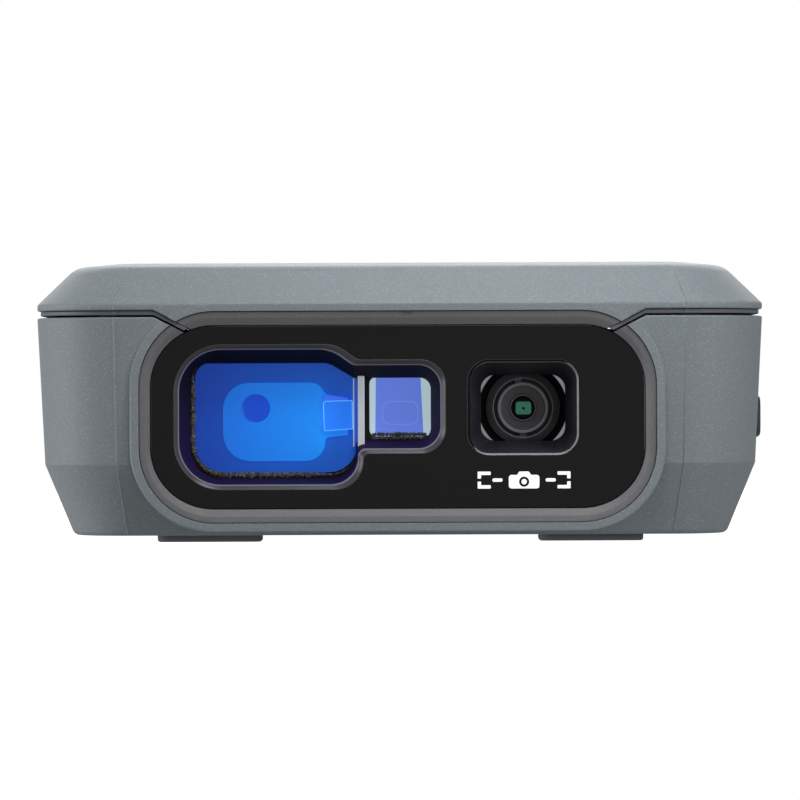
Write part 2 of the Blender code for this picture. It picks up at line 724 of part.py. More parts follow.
def make_upper_housing():
    """The upper shell: a lid with chamfered edges, a display pocket, key holes, sound slots and screw posts."""
    levels = [(DIP_Z - 1, 0.0)] + outer_profile()[3:]
    shell = loft("upper_housing", body_rings(levels), SOFT_GREY)
    collar = prism("upper_collar", window_outline(COLLAR_LIP - 0.05), "Y", FRONT_Y, FRONT_Y + BEYOND)
    fuse(shell, collar)
    cavity_levels = [
        (DIP_Z - BEYOND, WALL),
        (PARTING_Z + UPPER_LIP_HEIGHT, WALL),
        (ROOF_Z, SHOULDER_INSET + WALL),
    ]
    cut(shell, loft("upper_cavity", body_rings(cavity_levels), SOFT_GREY))
    cut(shell, parting_band("below_parting", -BODY_HEIGHT, PARTING_GAP / 2))
    post_low = SCREW_SEAT + SCREW_HEAD_HEIGHT + BOSS_FLOOR + GAP
    hole_high = SCREW_SEAT + SCREW_LENGTH + 1.0
    for index, (x, y) in enumerate(screw_places()):
        fuse(shell, rod(f"screw_post_{index}", POST_RADIUS, "Z", (x, y), post_low, ROOF_Z + ROOF / 2))
        cut(shell, rod(f"post_hole_{index}", SCREW_RADIUS + FIT / 2, "Z", (x, y), post_low - 1, hole_high))
    glass_seat = TOP_Z + DISPLAY_PROUD - DISPLAY_GLASS_THICKNESS - FIT
    panel_opening = display_outline(-DISPLAY_BORDER + GAP)
    cut(
        shell,
        window_cutter("upper_window", FIT / 2),
        prism("glass_pocket", display_outline(KEY_CLEARANCE), "Z", glass_seat, TOP_Z + BEYOND),
        prism("panel_opening", panel_opening, "Z", ROOF_Z - 1, TOP_Z + BEYOND),
    )
    for name, outline, _ in key_table():
        cut(shell, prism(f"{name}_opening", outline(KEY_CLEARANCE), "Z", ROOF_Z - 1, TOP_Z + BEYOND))
    width, height, pitch = GRILLE_SLOT
    for index in (-1, 0, 1):
        slot = centred_outline((0, grille_y() + index * pitch), (width, height), height / 2)
        cut(shell, prism(f"sound_slot_{index + 1}", slot, "Z", ROOF_Z - 1, TOP_Z + BEYOND))
    return shell


def grille_y():
    """The middle sound slot's place, halfway from the last keys to the rear end."""
    return (KEY_YS[-1] + KEY_SIZE[1] / 2 + REAR_Y - TOP_INSET) / 2


def make_housing_seal():
    """The rubber strip in the parting line, open where the front window crosses it."""
    levels = [(DIP_Z - 2, SEAL_INSET), (PARTING_Z, SEAL_INSET), (PARTING_Z + 1, SEAL_INSET)]
    inner = [(DIP_Z - 3, SEAL_INSET + SEAL_WIDTH), (PARTING_Z + 2, SEAL_INSET + SEAL_WIDTH)]
    seal = loft("housing_seal", body_rings(levels), RUBBER)
    cut(seal, loft("seal_inside", body_rings(inner), RUBBER))
    trim_to(seal, parting_band("seal_band", -SEAL_THICKNESS / 2, SEAL_THICKNESS / 2))
    cut(seal, window_cutter("seal_window", FIT - TRIM_WIDTH))
    return seal


def make_housing():
    """Both shells, the seal, the screws, the feet and the blank rating plate."""
    members = [make_lower_housing(), make_upper_housing(), make_housing_seal()]
    for index, (x, y) in enumerate(screw_places()):
        members.append(make_screw(f"housing_screw_{index + 1}", x, y))
    for index, outline in enumerate(foot_outlines(0.0)):
        foot = prism(f"foot_{index + 1}", outline, "Z", 0.0, BASE_Z + FOOT_SUNK, RUBBER)
        members.append(bevel_edges(foot, 0.12))
    members.append(prism("rating_plate", plate_outline(0.0), "Z", BASE_Z - 0.05, BASE_Z + 0.2, LABEL))
    return members


def make_screw(name, x, y):
    """A pan-head screw with a round head, a shank and a hexagonal socket."""
    seat = SCREW_SEAT + SCREW_HEAD_HEIGHT - FIT
    profile = [
        (SCREW_HEAD_RADIUS - 0.3, SCREW_SEAT - 0.4),
        (SCREW_HEAD_RADIUS, SCREW_SEAT),
        (SCREW_HEAD_RADIUS, seat),
        (SCREW_RADIUS, seat),
        (SCREW_RADIUS, SCREW_SEAT + SCREW_LENGTH - 0.6),
        (SCREW_RADIUS * 0.6, SCREW_SEAT + SCREW_LENGTH),
    ]
    screw = turned(name, profile, "Z", (x, y), STEEL, steps=12)
    socket = rod(f"{name}_socket", 0.8, "Z", (x, y), 0, SCREW_SEAT + 0.4, steps=6)
    return cut(screw, socket)


def foot_outlines(grow):
    """Plan outlines of the four feet."""
    width, length = FOOT_SIZE
    front = FRONT_Y + 8.2
    rear = REAR_Y - 8.2
    x = HALF_WIDTH - FOOT_SIDE_INSET
    places = [(side * x, y) for y in (front, rear) for side in (-1, 1)]
    return [centred_outline(place, (width, length), 1.0, grow, steps=2) for place in places]


def plate_outline(grow):
    """The rating plate's plan outline, between the front feet and the tripod insert."""
    place = (0, FRONT_Y + 8.2 + FOOT_SIZE[1] / 2 + 3 + PLATE_SIZE[1] / 2)
    return centred_outline(place, PLATE_SIZE, 1.0, grow, steps=2)


# ---------------------------------------------------------------- front window
def trim_rings():
    """Cross-section rings of the window trim, bevelled on the side that faces in."""
    front, back = (FRONT_Y + depth for depth in TRIM_DEPTHS)
    sections = [
        (0.0, back),
        (0.0, front),
        (-TRIM_WIDTH * 0.3, front),
        (-TRIM_WIDTH, front + TRIM_BEVEL),
        (-TRIM_WIDTH, back),
    ]
    return [along("Y", window_outline(grow), station) for grow, station in sections]


def make_window():
    """The trim's two halves, the black window glass and the optics hood behind it."""
    lower = loft("window_trim_lower", trim_rings(), DARK_GREY, closed=True)
    cut(lower, parting_band("trim_above", -PARTING_GAP / 2, UPPER_DEPTH + BEYOND))
    upper = loft("window_trim_upper", trim_rings(), DARK_GREY, closed=True)
    cut(upper, parting_band("trim_below", -BODY_HEIGHT, PARTING_GAP / 2))

    front, back = (FRONT_Y + depth for depth in GLASS_DEPTHS)
    glass = prism("window_glass", window_outline(-TRIM_WIDTH - FIT), "Y", front, back, BLACK_GLASS)
    keyhole = loft(
        "keyhole_cut",
        [
            along("Y", keyhole_outline(-BEVEL), front - BEVEL),
            along("Y", keyhole_outline(BEVEL), front + BEVEL),
            along("Y", keyhole_outline(BEVEL), back + 1),
        ],
        BLACK_GLASS,
    )
    cut(glass, keyhole, prism("camera_cut", camera_outline(0.0), "Y", front - 1, back + 1))

    hood_front, hood_back = (FRONT_Y + depth for depth in HOOD_DEPTHS)
    hood = prism("optics_hood", window_outline(-TRIM_WIDTH - FIT), "Y", hood_front, hood_back, BLACK)
    pocket = loft(
        "hood_pocket",
        [
            along("Y", keyhole_outline(BEVEL - 0.1), hood_front - 0.5),
            along("Y", keyhole_outline(POCKET_INSET), hood_back + 0.1),
        ],
        BLACK,
    )
    camera = loft(
        "hood_camera",
        [
            along("Y", camera_outline(0.0), hood_front - 0.5),
            along("Y", camera_outline(CAMERA_POCKET_TAPER), hood_back + 0.1),
        ],
        BLACK,
    )
    cut(hood, pocket, camera)
    return [lower, upper, glass, hood]


# ---------------------------------------------------------------- optics
def make_optics():
    """The alloy carrier with the receiver lens, emitter window, laser barrel and detector."""
    front, back = (FRONT_Y + depth for depth in CARRIER_DEPTHS)
    reach = WINDOW_X - TRIM_WIDTH - CARRIER_MARGIN
    low = max(FLOOR_Z + GAP, WINDOW_LOW + TRIM_WIDTH)
    high = PARTING_Z - PARTING_DIP - FIT
    carrier = prism("optics_carrier", slab_outline(-reach, reach, low, high, 2.0), "Y", front, back, ALLOY)
    seat = prism("lens_seat", lens_outline(FIT), "Y", front - 1, front + LENS_THICKNESS + GAP)
    tunnel = loft(
        "receiver_tunnel",
        [
            along("Y", lens_outline(-0.6), front),
            along("Y", centred_outline((detector_x(), AXIS_Z), (6.0, 6.0), 2.0), back + 1),
        ],
        ALLOY,
    )
    laser_bore = rod("laser_bore", LASER_BARREL_RADIUS + RUNNING, "Y", (LASER_X, EMITTER_Z), front, back + 1)
    emitter_back = front + EMITTER_GLASS_THICKNESS
    emitter_seat = prism("emitter_seat", emitter_outline(FIT), "Y", front - 1, emitter_back + GAP)
    half_can = CAN_SIZE / 2 + FIT
    camera_bay = box(
        "camera_bay",
        (CAMERA_X - half_can, front - 1, CAMERA_Z - half_can),
        (reach + 1, back + 1, high + 1),
    )
    cut(carrier, seat, tunnel, laser_bore, emitter_seat, camera_bay)

    lens = loft("receiver_lens", receiver_lens_rings(front), BLUE_GLASS)
    emitter = prism("emitter_window", emitter_outline(), "Y", front + 0.1, emitter_back, VIOLET_GLASS)
    barrier = box(
        "light_barrier",
        (EMITTER_LEFT - BARRIER_WIDTH, FRONT_Y + HOOD_DEPTHS[0] + 1.6, EMITTER_Z - EMITTER_HALF_HEIGHT + 1.9),
        (EMITTER_LEFT, front - GAP / 2, EMITTER_Z + EMITTER_HALF_HEIGHT - 1.9),
        ALLOY,
    )
    return [carrier, lens, emitter, barrier, *make_laser(front), *make_detector(back)]


def detector_x():
    """The detector's place across the body, behind the middle of the receiver lens."""
    return (RECEIVER_LEFT + EMITTER_LEFT) / 2


def receiver_lens_rings(front):
    """The lens's rings from its crowned front face to its flat back."""
    stations = [(-4.2, front - LENS_CROWN), (-2.6, front - LENS_CROWN * 0.8), (-1.0, front - LENS_CROWN * 0.4)]
    stations += [(0.0, front + 0.1), (0.0, front + LENS_THICKNESS)]
    return [along("Y", lens_outline(grow), station) for grow, station in stations]


def make_laser(front):
    """The laser's barrel with its collimator lens in front and its diode behind."""
    place = (LASER_X, EMITTER_Z)
    start = front + EMITTER_GLASS_THICKNESS + 2 * GAP
    end = start + LASER_BARREL_LENGTH
    barrel = turned(
        "laser_barrel",
        [
            (LASER_BARREL_RADIUS, start),
            (LASER_BARREL_RADIUS, end),
            (LASER_BORE_RADIUS - 0.7, end),
            (LASER_BORE_RADIUS - 0.7, start + 3.2),
            (LASER_BORE_RADIUS, start + 3.2),
            (LASER_BORE_RADIUS, start),
        ],
        "Y",
        place,
        BRASS,
        closed=True,
    )
    collimator = turned(
        "collimator_lens",
        [(0.9, start + 0.35), (COLLIMATOR_RADIUS, start + 0.8), (COLLIMATOR_RADIUS, start + 2.9)],
        "Y",
        place,
        GREEN_GLASS,
    )
    diode = turned(
        "laser_diode",
        [
            (1.6, end + GAP / 2),
            (1.6, end + 1.6),
            (DIODE_RADIUS, end + 1.6),
            (DIODE_RADIUS, end + DIODE_LENGTH),
        ],
        "Y",
        place,
        STEEL,
    )
    return [barrel, collimator, diode]


def make_detector(back):
    """The light detector on its own board at the tunnel's end, under a steel shield."""
    x = detector_x()
    y = back + GAP
    z = AXIS_Z
    board_rear = y + DETECTOR_BOARD
    board = box("detector_board", (x - 7, y, z - 6), (x + 7, board_rear, z + 6), BOARD_GREEN)
    chip = box("detector_chip", (x - 1.8, back - 1.4, z - 1.8), (x + 1.8, y - GAP / 2, z + 1.8), BLACK)
    shield = box("detector_shield", (x - 6, board_rear + GAP, z - 5), (x + 6, OPTICS_REAR, z + 4.8), STEEL)
    return [board, chip, bevel_edges(shield, 0.4)]


def make_camera():
    """The camera: a steel can, a threaded holder, a focusing barrel, its front lens and the sensor's board."""
    place = (CAMERA_X, CAMERA_Z)
    half = CAN_SIZE / 2
    can_front, can_back = (FRONT_Y + depth for depth in CAN_DEPTHS)
    can_outline = centred_outline(place, (CAN_SIZE, CAN_SIZE), 0.8, steps=2)
    can = prism("camera_can", can_outline, "Y", can_front, can_back, STEEL)
    cut(can, rod("can_bore", HOLDER_RADIUS + FIT, "Y", place, can_front - 1, can_back + 1))

    nose = FRONT_Y + HOOD_DEPTHS[1] + GAP
    holder = turned(
        "camera_holder",
        [
            (HOLDER_RADIUS, nose + 0.1),
            (HOLDER_RADIUS, nose + 0.6),
            (HOLDER_FLANGE_RADIUS, nose + 0.6),
            (HOLDER_FLANGE_RADIUS, can_front - FIT / 2),
            (HOLDER_RADIUS, can_front - FIT / 2),
            (HOLDER_RADIUS, can_back),
            (CAMERA_THREAD_RADIUS + RUNNING, can_back),
            (CAMERA_THREAD_RADIUS + RUNNING, nose + 0.1),
        ],
        "Y",
        place,
        BLACK,
        closed=True,
    )
    barrel = turned(
        "camera_barrel",
        [
            (CAMERA_BARREL_RADIUS, nose),
            (CAMERA_BARREL_RADIUS, nose + 0.7),
            (CAMERA_THREAD_RADIUS, nose + 0.7),
            (CAMERA_THREAD_RADIUS, can_back - 0.4),
            (CAMERA_LENS_RADIUS + RUNNING, can_back - 0.4),
            (CAMERA_LENS_RADIUS + RUNNING, nose + 0.9),
            (CAMERA_LENS_RADIUS - 0.2, nose + 0.7),
            (CAMERA_LENS_RADIUS - 0.2, nose + 0.45),
            (CAMERA_BARREL_RADIUS - 0.27, nose),
        ],
        "Y",
        place,
        BLACK,
        closed=True,
    )
    lens = turned(
        "camera_lens",
        [
            (0.5, nose + 0.95),
            (CAMERA_LENS_RADIUS, nose + 1.25),
            (CAMERA_LENS_RADIUS, can_back - 0.6),
        ],
        "Y",
        place,
        GREEN_GLASS,
    )
    board = box(
        "camera_board",
        (CAMERA_X - half, can_back + GAP, CAMERA_Z - half),
        (CAMERA_X + half, can_back + GAP + 0.8, CAMERA_Z + half),
        BOARD_GREEN,
    )
    return [can, holder, barrel, lens, board]


# ---------------------------------------------------------------- display and keypad
def display_outline(grow, steps=4):
    """The display glass's plan outline."""
    x = DISPLAY_X + grow
    radius = max(DISPLAY_RADIUS + grow, 0.6)
    return slab_outline(-x, x, DISPLAY_FRONT - grow, DISPLAY_REAR + grow, radius, steps)


def make_display():
    """The display's cover glass, its panel and the tray that holds the panel under the roof."""
    glass_low = TOP_Z + DISPLAY_PROUD - DISPLAY_GLASS_THICKNESS
    glass = prism("display_glass", display_outline(0.0), "Z", glass_low, TOP_Z + DISPLAY_PROUD, BLACK_GLASS)
    bevel_edges(glass, 0.2)
    panel_high = glass_low - FIT
    panel_low = panel_high - PANEL_THICKNESS
    panel_outline = display_outline(-DISPLAY_BORDER - GAP)
    panel = prism("display_panel", panel_outline, "Z", panel_low, panel_high, LCD_BLACK)
    reach = TRAY_WALL - DISPLAY_BORDER
    tray_low = panel_low - GAP - TRAY_FLOOR
    tray = prism("display_tray", display_outline(reach, steps=2), "Z", tray_low, ROOF_Z - GAP, DARK_GREY)
    hollow = display_outline(reach - TRAY_WALL, steps=2)
    cut(tray, prism("tray_hollow", hollow, "Z", panel_low - GAP, TOP_Z))
    return [glass, panel, tray]


def key_outline(place, size):
    """A function that gives a key's plan outline, grown by an amount."""
    return lambda grow, steps=4: centred_outline(place, size[:2], size[2], grow, steps)


def measure_outline(grow, steps=24):
    """The round measuring key's plan outline, grown by an amount."""
    turns = [2 * math.pi * i / steps for i in range(steps)]
    radius = MEASURE_RADIUS + grow
    return [(radius * math.cos(t), MEASURE_Y + radius * math.sin(t)) for t in turns]


def key_table():
    """(name, outline function, centre) of each key on the upper housing."""
    front, middle, rear = KEY_YS
    keys = [("measure_key", measure_outline, (0.0, MEASURE_Y))]
    for name, x, y in (
        ("left_soft_key", -KEY_X, front),
        ("right_soft_key", KEY_X, front),
        ("minus_key", -KEY_X, middle),
        ("plus_key", KEY_X, middle),
        ("function_key", -KEY_X, rear),
        ("power_key", KEY_X, rear),
    ):
        keys.append((name, key_outline((x, y), KEY_SIZE), (x, y)))
    keys.append(("camera_key", key_outline((0.0, rear), CAMERA_KEY_SIZE), (0.0, rear)))
    return keys


def make_key(name, outline, centre):
    """A key cap with a flange that holds it under the roof and a stem that reaches the dome sheet."""
    material = ORANGE if name == "measure_key" else SILICONE
    flange_high = ROOF_Z - GAP
    flange_low = flange_high - 0.7
    top = TOP_Z + KEY_PROUD
    cap = loft(
        name,
        [
            along("Z", outline(KEY_FLANGE), flange_low),
            along("Z", outline(KEY_FLANGE), flange_high),
            along("Z", outline(0.0), flange_high),
            along("Z", outline(0.0), top - 0.35),
            along("Z", outline(-0.35), top),
        ],
        material,
    )
    stem_low = dome_top() + 0.1 + KEY_TRAVEL
    fuse(cap, rod(f"{name}_stem", STEM_RADIUS, "Z", centre, stem_low, flange_low + 0.3, steps=12))
    set_origin(cap, (*centre, top))
    return cap


def dome_top():
    """The height of the snap domes' tops over the board."""
    return BOARD_TOP + GAP / 2 + 0.2 + DOME_HEIGHT


def make_keypad():
    """The keys, the silicone mat round their stems, the sheet of snap domes and the main board."""
    table = key_table()
    keys = [make_key(*row) for row in table]
    front = DISPLAY_REAR + DISPLAY_BORDER
    rear = grille_y() - GRILLE_SLOT[2] - 2
    side = BOARD_X - 0.4
    sheet = slab_outline(-side, side, front, rear, 2.0, steps=2)
    mat_low = dome_top() + GAP
    mat_high = ROOF_Z - GAP - 0.7 - KEY_TRAVEL - GAP
    mat = prism("keypad_mat", sheet, "Z", mat_low, min(mat_low + MAT_THICKNESS, mat_high), SILICONE)
    for name, _, centre in table:
        cut(mat, rod(f"{name}_mat_hole", STEM_RADIUS + 0.4, "Z", centre, mat_low - 1, mat_high + 1, steps=12))
    dome_low = BOARD_TOP + GAP / 2
    domes = prism("dome_sheet", sheet, "Z", dome_low, dome_low + 0.2, STEEL)
    for name, _, centre in table:
        profile = [(DOME_RADIUS, dome_low + 0.1), (DOME_RADIUS - 0.3, dome_top() - 0.15), (1.0, dome_top())]
        fuse(domes, turned(f"{name}_dome", profile, "Z", centre, STEEL, steps=10))
    return [*keys, mat, domes]


def make_board():
    """The main board with a tab for the port, and the speaker under it."""
    front = FRONT_Y + CARRIER_DEPTHS[1] + 7.0
    rear = LEVER_PIN[1] - LEVER_DEPTH / 2 - WALL - 2 * GAP
    tab = -HALF_WIDTH + WALL + 3.2
    outline = rounded(
        [
            (-BOARD_X, front, 1.5),
            (BOARD_X, front, 1.5),
            (BOARD_X, rear, 1.5),
            (-BOARD_X, rear, 1.5),
            (-BOARD_X, PORT_Y + 6.5, 0.5),
            (tab, PORT_Y + 6.5, 1.0),
            (tab, PORT_Y - 6.5, 1.0),
            (-BOARD_X, PORT_Y - 6.5, 0.5),
        ],
        2,
    )
    board = prism("main_board", outline, "Z", BOARD_LOW, BOARD_TOP, BOARD_GREEN)
    speaker_place = (-BOARD_X / 2, INSERT_Y)
    high = BOARD_LOW - GAP / 2
    speaker = turned(
        "speaker",
        [
            (1.6, high - SPEAKER_HEIGHT),
            (SPEAKER_RADIUS, high - SPEAKER_HEIGHT + 0.3),
            (SPEAKER_RADIUS, high),
        ],
        "Z",
        speaker_place,
        STEEL,
    )
    return [board, speaker]


# ---------------------------------------------------------------- side key and port
def side_key_outline(grow):
    """The side key's outline in the wall, grown by an amount."""
    size = (SIDE_KEY_LENGTH, 2 * SIDE_KEY_HALF_HEIGHT)
    return centred_outline((SIDE_KEY_Y, SIDE_KEY_Z), size, 1.2, grow)


def make_side_key():
    """The sprung key in the right wall and the switch that it presses."""
    inner = HALF_WIDTH - SIDE_DRAFT - WALL - GAP
    tip = HALF_WIDTH + SIDE_PROUD
    key = loft(
        "side_key",
        [
            along("X", side_key_outline(KEY_FLANGE), inner - 0.8),
            along("X", side_key_outline(KEY_FLANGE), inner),
            along("X", side_key_outline(0.0), inner),
            along("X", side_key_outline(0.0), tip - 0.4),
            along("X", side_key_outline(-0.4), tip),
        ],
        SILICONE,
    )
    switch_face = inner - 0.8 - SIDE_KEY_TRAVEL - GAP
    switch = box(
        "side_switch",
        (switch_face - 2.4, SIDE_KEY_Y - 2.6, SIDE_KEY_Z - 1.6),
        (switch_face - 0.7, SIDE_KEY_Y + 2.6, SIDE_KEY_Z + 1.6),
        STEEL,
    )
    place = (SIDE_KEY_Y, SIDE_KEY_Z)
    fuse(switch, rod("side_plunger", 0.9, "X", place, switch_face - 1.2, switch_face, steps=12))
    set_origin(key, (tip, SIDE_KEY_Y, SIDE_KEY_Z))
    return [key, switch]


def flap_inner_x():
    """The flap's inner face. Its outer face is flush with the wall."""
    return -HALF_WIDTH + SIDE_DRAFT / 2 + FLAP_THICKNESS


def flap_pin_place():
    """The flap pin's (x, y), in the middle of the flap's rounded rear edge."""
    return (flap_inner_x() - FLAP_THICKNESS / 2, PORT_Y + FLAP_LENGTH / 2 - FLAP_THICKNESS / 2)


def make_port():
    """The charging port's socket and its rubber flap, which turns on a steel pin."""
    x, y = flap_pin_place()
    low = PORT_Z - FLAP_HALF_HEIGHT
    high = PORT_Z + FLAP_HALF_HEIGHT
    outer = flap_inner_x() - FLAP_THICKNESS
    front = PORT_Y - FLAP_LENGTH / 2
    rear = PORT_Y + FLAP_LENGTH / 2
    corners = [(outer, front, 0.2), (flap_inner_x(), front, 0.2)]
    corners += [(flap_inner_x(), rear, FLAP_THICKNESS / 2), (outer, rear, FLAP_THICKNESS / 2)]
    flap = prism("port_flap", rounded(corners), "Z", low, high, RUBBER)
    proud = -HALF_WIDTH - SIDE_PROUD
    for index in range(3):
        start = front + 1.4 + 1.3 * index
        fuse(flap, box(f"flap_rib_{index}", (proud, start, low + 1), (outer + 0.4, start + 0.6, high - 1)))
    cut(flap, rod("flap_bore", FLAP_PIN_RADIUS + RUNNING, "Z", (x, y), low - 1, high + 1, steps=12))
    pin = rod("port_flap_pin", FLAP_PIN_RADIUS, "Z", (x, y), low - 1.0, high + 1.0, steps=12)
    set_origin(flap, (x, y, PORT_Z))

    shell_outline = centred_outline((PORT_Y, PORT_Z), PORT_SIZE, 1.5)
    socket_front = flap_inner_x() + FIT + WALL + GAP
    socket = prism("port_socket", shell_outline, "X", socket_front, socket_front + 7.3, STEEL)
    mouth = centred_outline((PORT_Y, PORT_Z), PORT_SIZE, 1.5, -PORT_WALL)
    cut(socket, prism("port_mouth", mouth, "X", socket_front - 1, socket_front + 6.5))
    tongue = box(
        "port_tongue",
        (socket_front + 0.6, PORT_Y - 3.2, PORT_Z - 0.35),
        (socket_front + 7.0, PORT_Y + 3.2, PORT_Z + 0.35),
    )
    fuse(socket, tongue)
    return [flap, pin, socket]


# ---------------------------------------------------------------- battery
def make_battery():
    """The battery tray, the pack in it, the contact block, and the door with its sliding latch."""
    half = INSIDE_X
    roof = PORT_Z - PORT_SIZE[1] / 2 - GAP
    tray = prism(
        "battery_tray",
        slab_outline(-half, half, BATTERY_FRONT, BATTERY_REAR, 1.5, steps=2),
        "Z",
        FLOOR_Z + GAP,
        roof,
        DARK_GREY,
    )
    inner = slab_outline(-half + 1, half - 1, BATTERY_FRONT + 1, BATTERY_REAR - 1, 1.0, steps=2)
    cut(tray, prism("tray_space", inner, "Z", 0, roof - 1.0))
    pack = prism(
        "battery_pack",
        slab_outline(-half + 1.4, half - 1.4, BATTERY_FRONT + 3.6, BATTERY_REAR - 1.4, 2.0, steps=3),
        "Z",
        FLOOR_Z + 2 * GAP,
        roof - 1.0 - GAP,
        CELL_BLUE,
    )
    bevel_edges(pack, 0.5)
    return [tray, pack, make_contacts(roof), *make_door()]


def make_contacts(roof):
    """The contact block at the tray's front end, with a sprung nose for each terminal."""
    front = BATTERY_FRONT + 1 + FIT
    span = CONTACT_PITCH * (CONTACT_COUNT - 1) / 2
    low = FLOOR_Z + 2 * GAP
    high = roof - 1 - GAP
    block = box("battery_contacts", (-span - 3, front, low), (span + 3, front + 1.2, high), BRASS)
    for index in range(CONTACT_COUNT):
        place = (CONTACT_PITCH * index - span, (low + high) / 2)
        fuse(block, rod(f"contact_nose_{index}", 0.9, "Y", place, front + 0.6, front + 1.95, steps=12))
    return block


def make_door():
    """The battery door, which swings down about its rounded rear edge, and the latch in its front edge."""
    x = INSIDE_X - DOOR_MARGIN
    width, length = LATCH_SIZE
    notch_high = DOOR_TOP - DOOR_WEB
    notch = box(
        "latch_notch",
        (-width / 2 - GAP, DOOR_FRONT - 1, -1),
        (width / 2 + GAP, DOOR_FRONT + length + LATCH_TRAVEL + GAP, notch_high),
    )
    door = prism("battery_door", door_outline(), "Z", BASE_Z, DOOR_TOP, SOFT_GREY)
    reach = x + HINGE_PIN_LENGTH
    fuse(
        door,
        rod("door_edge", DOOR_THICKNESS / 2, "X", DOOR_HINGE, -x, x, steps=16),
        rod("door_pins", HINGE_PIN_RADIUS, "X", DOOR_HINGE, -reach, reach, steps=12),
    )
    cut(door, notch)
    for index in range(3):
        start = DOOR_FRONT + length + 4 + 1.6 * index
        groove = box(f"door_groove_{index}", (-width / 2, start, -1), (width / 2, start + 0.8, BASE_Z + 0.35))
        cut(door, groove)
    latch = box(
        "door_latch",
        (-width / 2, DOOR_FRONT - 1.0, BASE_Z + 0.1),
        (width / 2, DOOR_FRONT + length - GAP, notch_high - FIT),
        DARK_GREY,
    )
    grip_low = (2 - width / 2, DOOR_FRONT + 1.2, -1)
    grip_high = (width / 2 - 2, DOOR_FRONT + 2.4, BASE_Z + 0.45)
    cut(latch, box("latch_grip", grip_low, grip_high))
    set_origin(door, (0, *DOOR_HINGE))
    set_origin(latch, (0, DOOR_FRONT, BASE_Z))
    return [door, latch]


# ---------------------------------------------------------------- rear end and underside fittings
def make_lever():
    """The stop lever that folds out of the rear end to measure from corners, and its pin."""
    x, y = LEVER_PIN
    half = LEVER_DEPTH / 2
    low = LEVER_Z - LEVER_HALF_HEIGHT
    high = LEVER_Z + LEVER_HALF_HEIGHT
    end = x + LEVER_LENGTH
    corners = [(x - half, y - half, half), (end, y - half, 1.2)]
    corners += [(end, y + half, 1.2), (x - half, y + half, half)]
    lever = prism("stop_lever", rounded(corners, 5), "Z", low, high, DARK_GREY)
    bore = rod("lever_bore", LEVER_PIN_RADIUS + RUNNING, "Z", (x, y), low - 1, high + 1)
    relief_outline = slab_outline(x + 5, end - 4, low + 1.2, high - 1.2, 0.8)
    relief = prism("lever_relief", relief_outline, "Y", y + half - 0.8, y + half + 1)
    cut(lever, bore, relief)
    set_origin(lever, (x, y, LEVER_Z))
    pin = rod("stop_lever_pin", LEVER_PIN_RADIUS, "Z", (x, y), low - GAP - 1.1, high + GAP + 1.4)
    return [lever, pin]


def make_fittings():
    """The brass tripod insert and the strap pin."""
    insert = turned(
        "tripod_insert",
        [
            (INSERT_RADIUS, BASE_Z + 0.1),
            (INSERT_RADIUS, BASE_Z + 3.0),
            (INSERT_RADIUS - 0.5, BASE_Z + 3.4),
            (INSERT_RADIUS - 0.5, BASE_Z + 4.6),
            (INSERT_RADIUS, BASE_Z + 5.0),
            (INSERT_RADIUS, BASE_Z + INSERT_LENGTH),
            (THREAD_RADIUS, BASE_Z + INSERT_LENGTH),
            (THREAD_RADIUS, BASE_Z + 0.5),
            (THREAD_RADIUS + 0.4, BASE_Z + 0.1),
        ],
        "Z",
        (0, INSERT_Y),
        BRASS,
        closed=True,
        steps=24,
    )
    _, y, _ = strap_place()
    reach = STRAP_POCKET[1] / 2 + 0.9
    strap_pin = rod("strap_pin", STRAP_PIN_RADIUS, "Y", strap_pin_place(), y - reach, y + reach, steps=12)
    return [insert, strap_pin]


# ---------------------------------------------------------------- the whole
def main():
    """Clears the scene and builds every sub-assembly."""
    for old in list(bpy.data.objects):
        bpy.data.objects.remove(old)
    gather("housing", make_housing())
    gather("front_window", make_window())
    gather("optics", make_optics())
    gather("camera", make_camera())
    gather("display", make_display())
    gather("keypad", make_keypad())
    gather("electronics", make_board())
    gather("side_controls", make_side_key())
    gather("port", make_port())
    gather("battery", make_battery())
    gather("rear_lever", make_lever())
    gather("fittings", make_fittings())


main()
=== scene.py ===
"""Looks of the handheld laser measuring scanner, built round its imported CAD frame.

Frame: X across the body, Y from the front window (-Y) to the rear end (+Y), Z up from the surface that it
stands on. Shapes are worked out in millimetres and written to meshes in metres. Every place comes from the
CAD solids' own boxes, and every piece rides on the CAD body that it belongs to.
"""

import logging
import math
from dataclasses import dataclass, field
from enum import Enum
from typing import Callable, Iterable, Sequence

import bmesh
import bpy
import numpy as np
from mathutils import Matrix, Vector


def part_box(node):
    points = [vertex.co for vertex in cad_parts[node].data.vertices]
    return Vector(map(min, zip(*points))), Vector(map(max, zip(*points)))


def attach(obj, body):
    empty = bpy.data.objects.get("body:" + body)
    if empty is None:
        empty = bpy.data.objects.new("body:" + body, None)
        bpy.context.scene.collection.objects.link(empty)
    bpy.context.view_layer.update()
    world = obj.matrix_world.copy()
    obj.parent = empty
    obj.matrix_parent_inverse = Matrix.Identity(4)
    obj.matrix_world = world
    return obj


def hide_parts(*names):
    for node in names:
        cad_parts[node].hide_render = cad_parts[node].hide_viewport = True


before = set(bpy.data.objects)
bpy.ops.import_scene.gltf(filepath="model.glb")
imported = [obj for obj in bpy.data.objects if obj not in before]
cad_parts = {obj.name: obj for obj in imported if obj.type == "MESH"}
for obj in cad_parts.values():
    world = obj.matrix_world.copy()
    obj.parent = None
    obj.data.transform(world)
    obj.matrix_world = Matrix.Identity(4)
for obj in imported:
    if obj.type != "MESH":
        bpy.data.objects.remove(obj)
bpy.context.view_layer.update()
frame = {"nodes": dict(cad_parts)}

MM = 0.001
Array = np.ndarray
Outline = Callable[[float], Array]
Levels = Sequence[tuple[float, float]]
log = logging.getLogger("scanner")


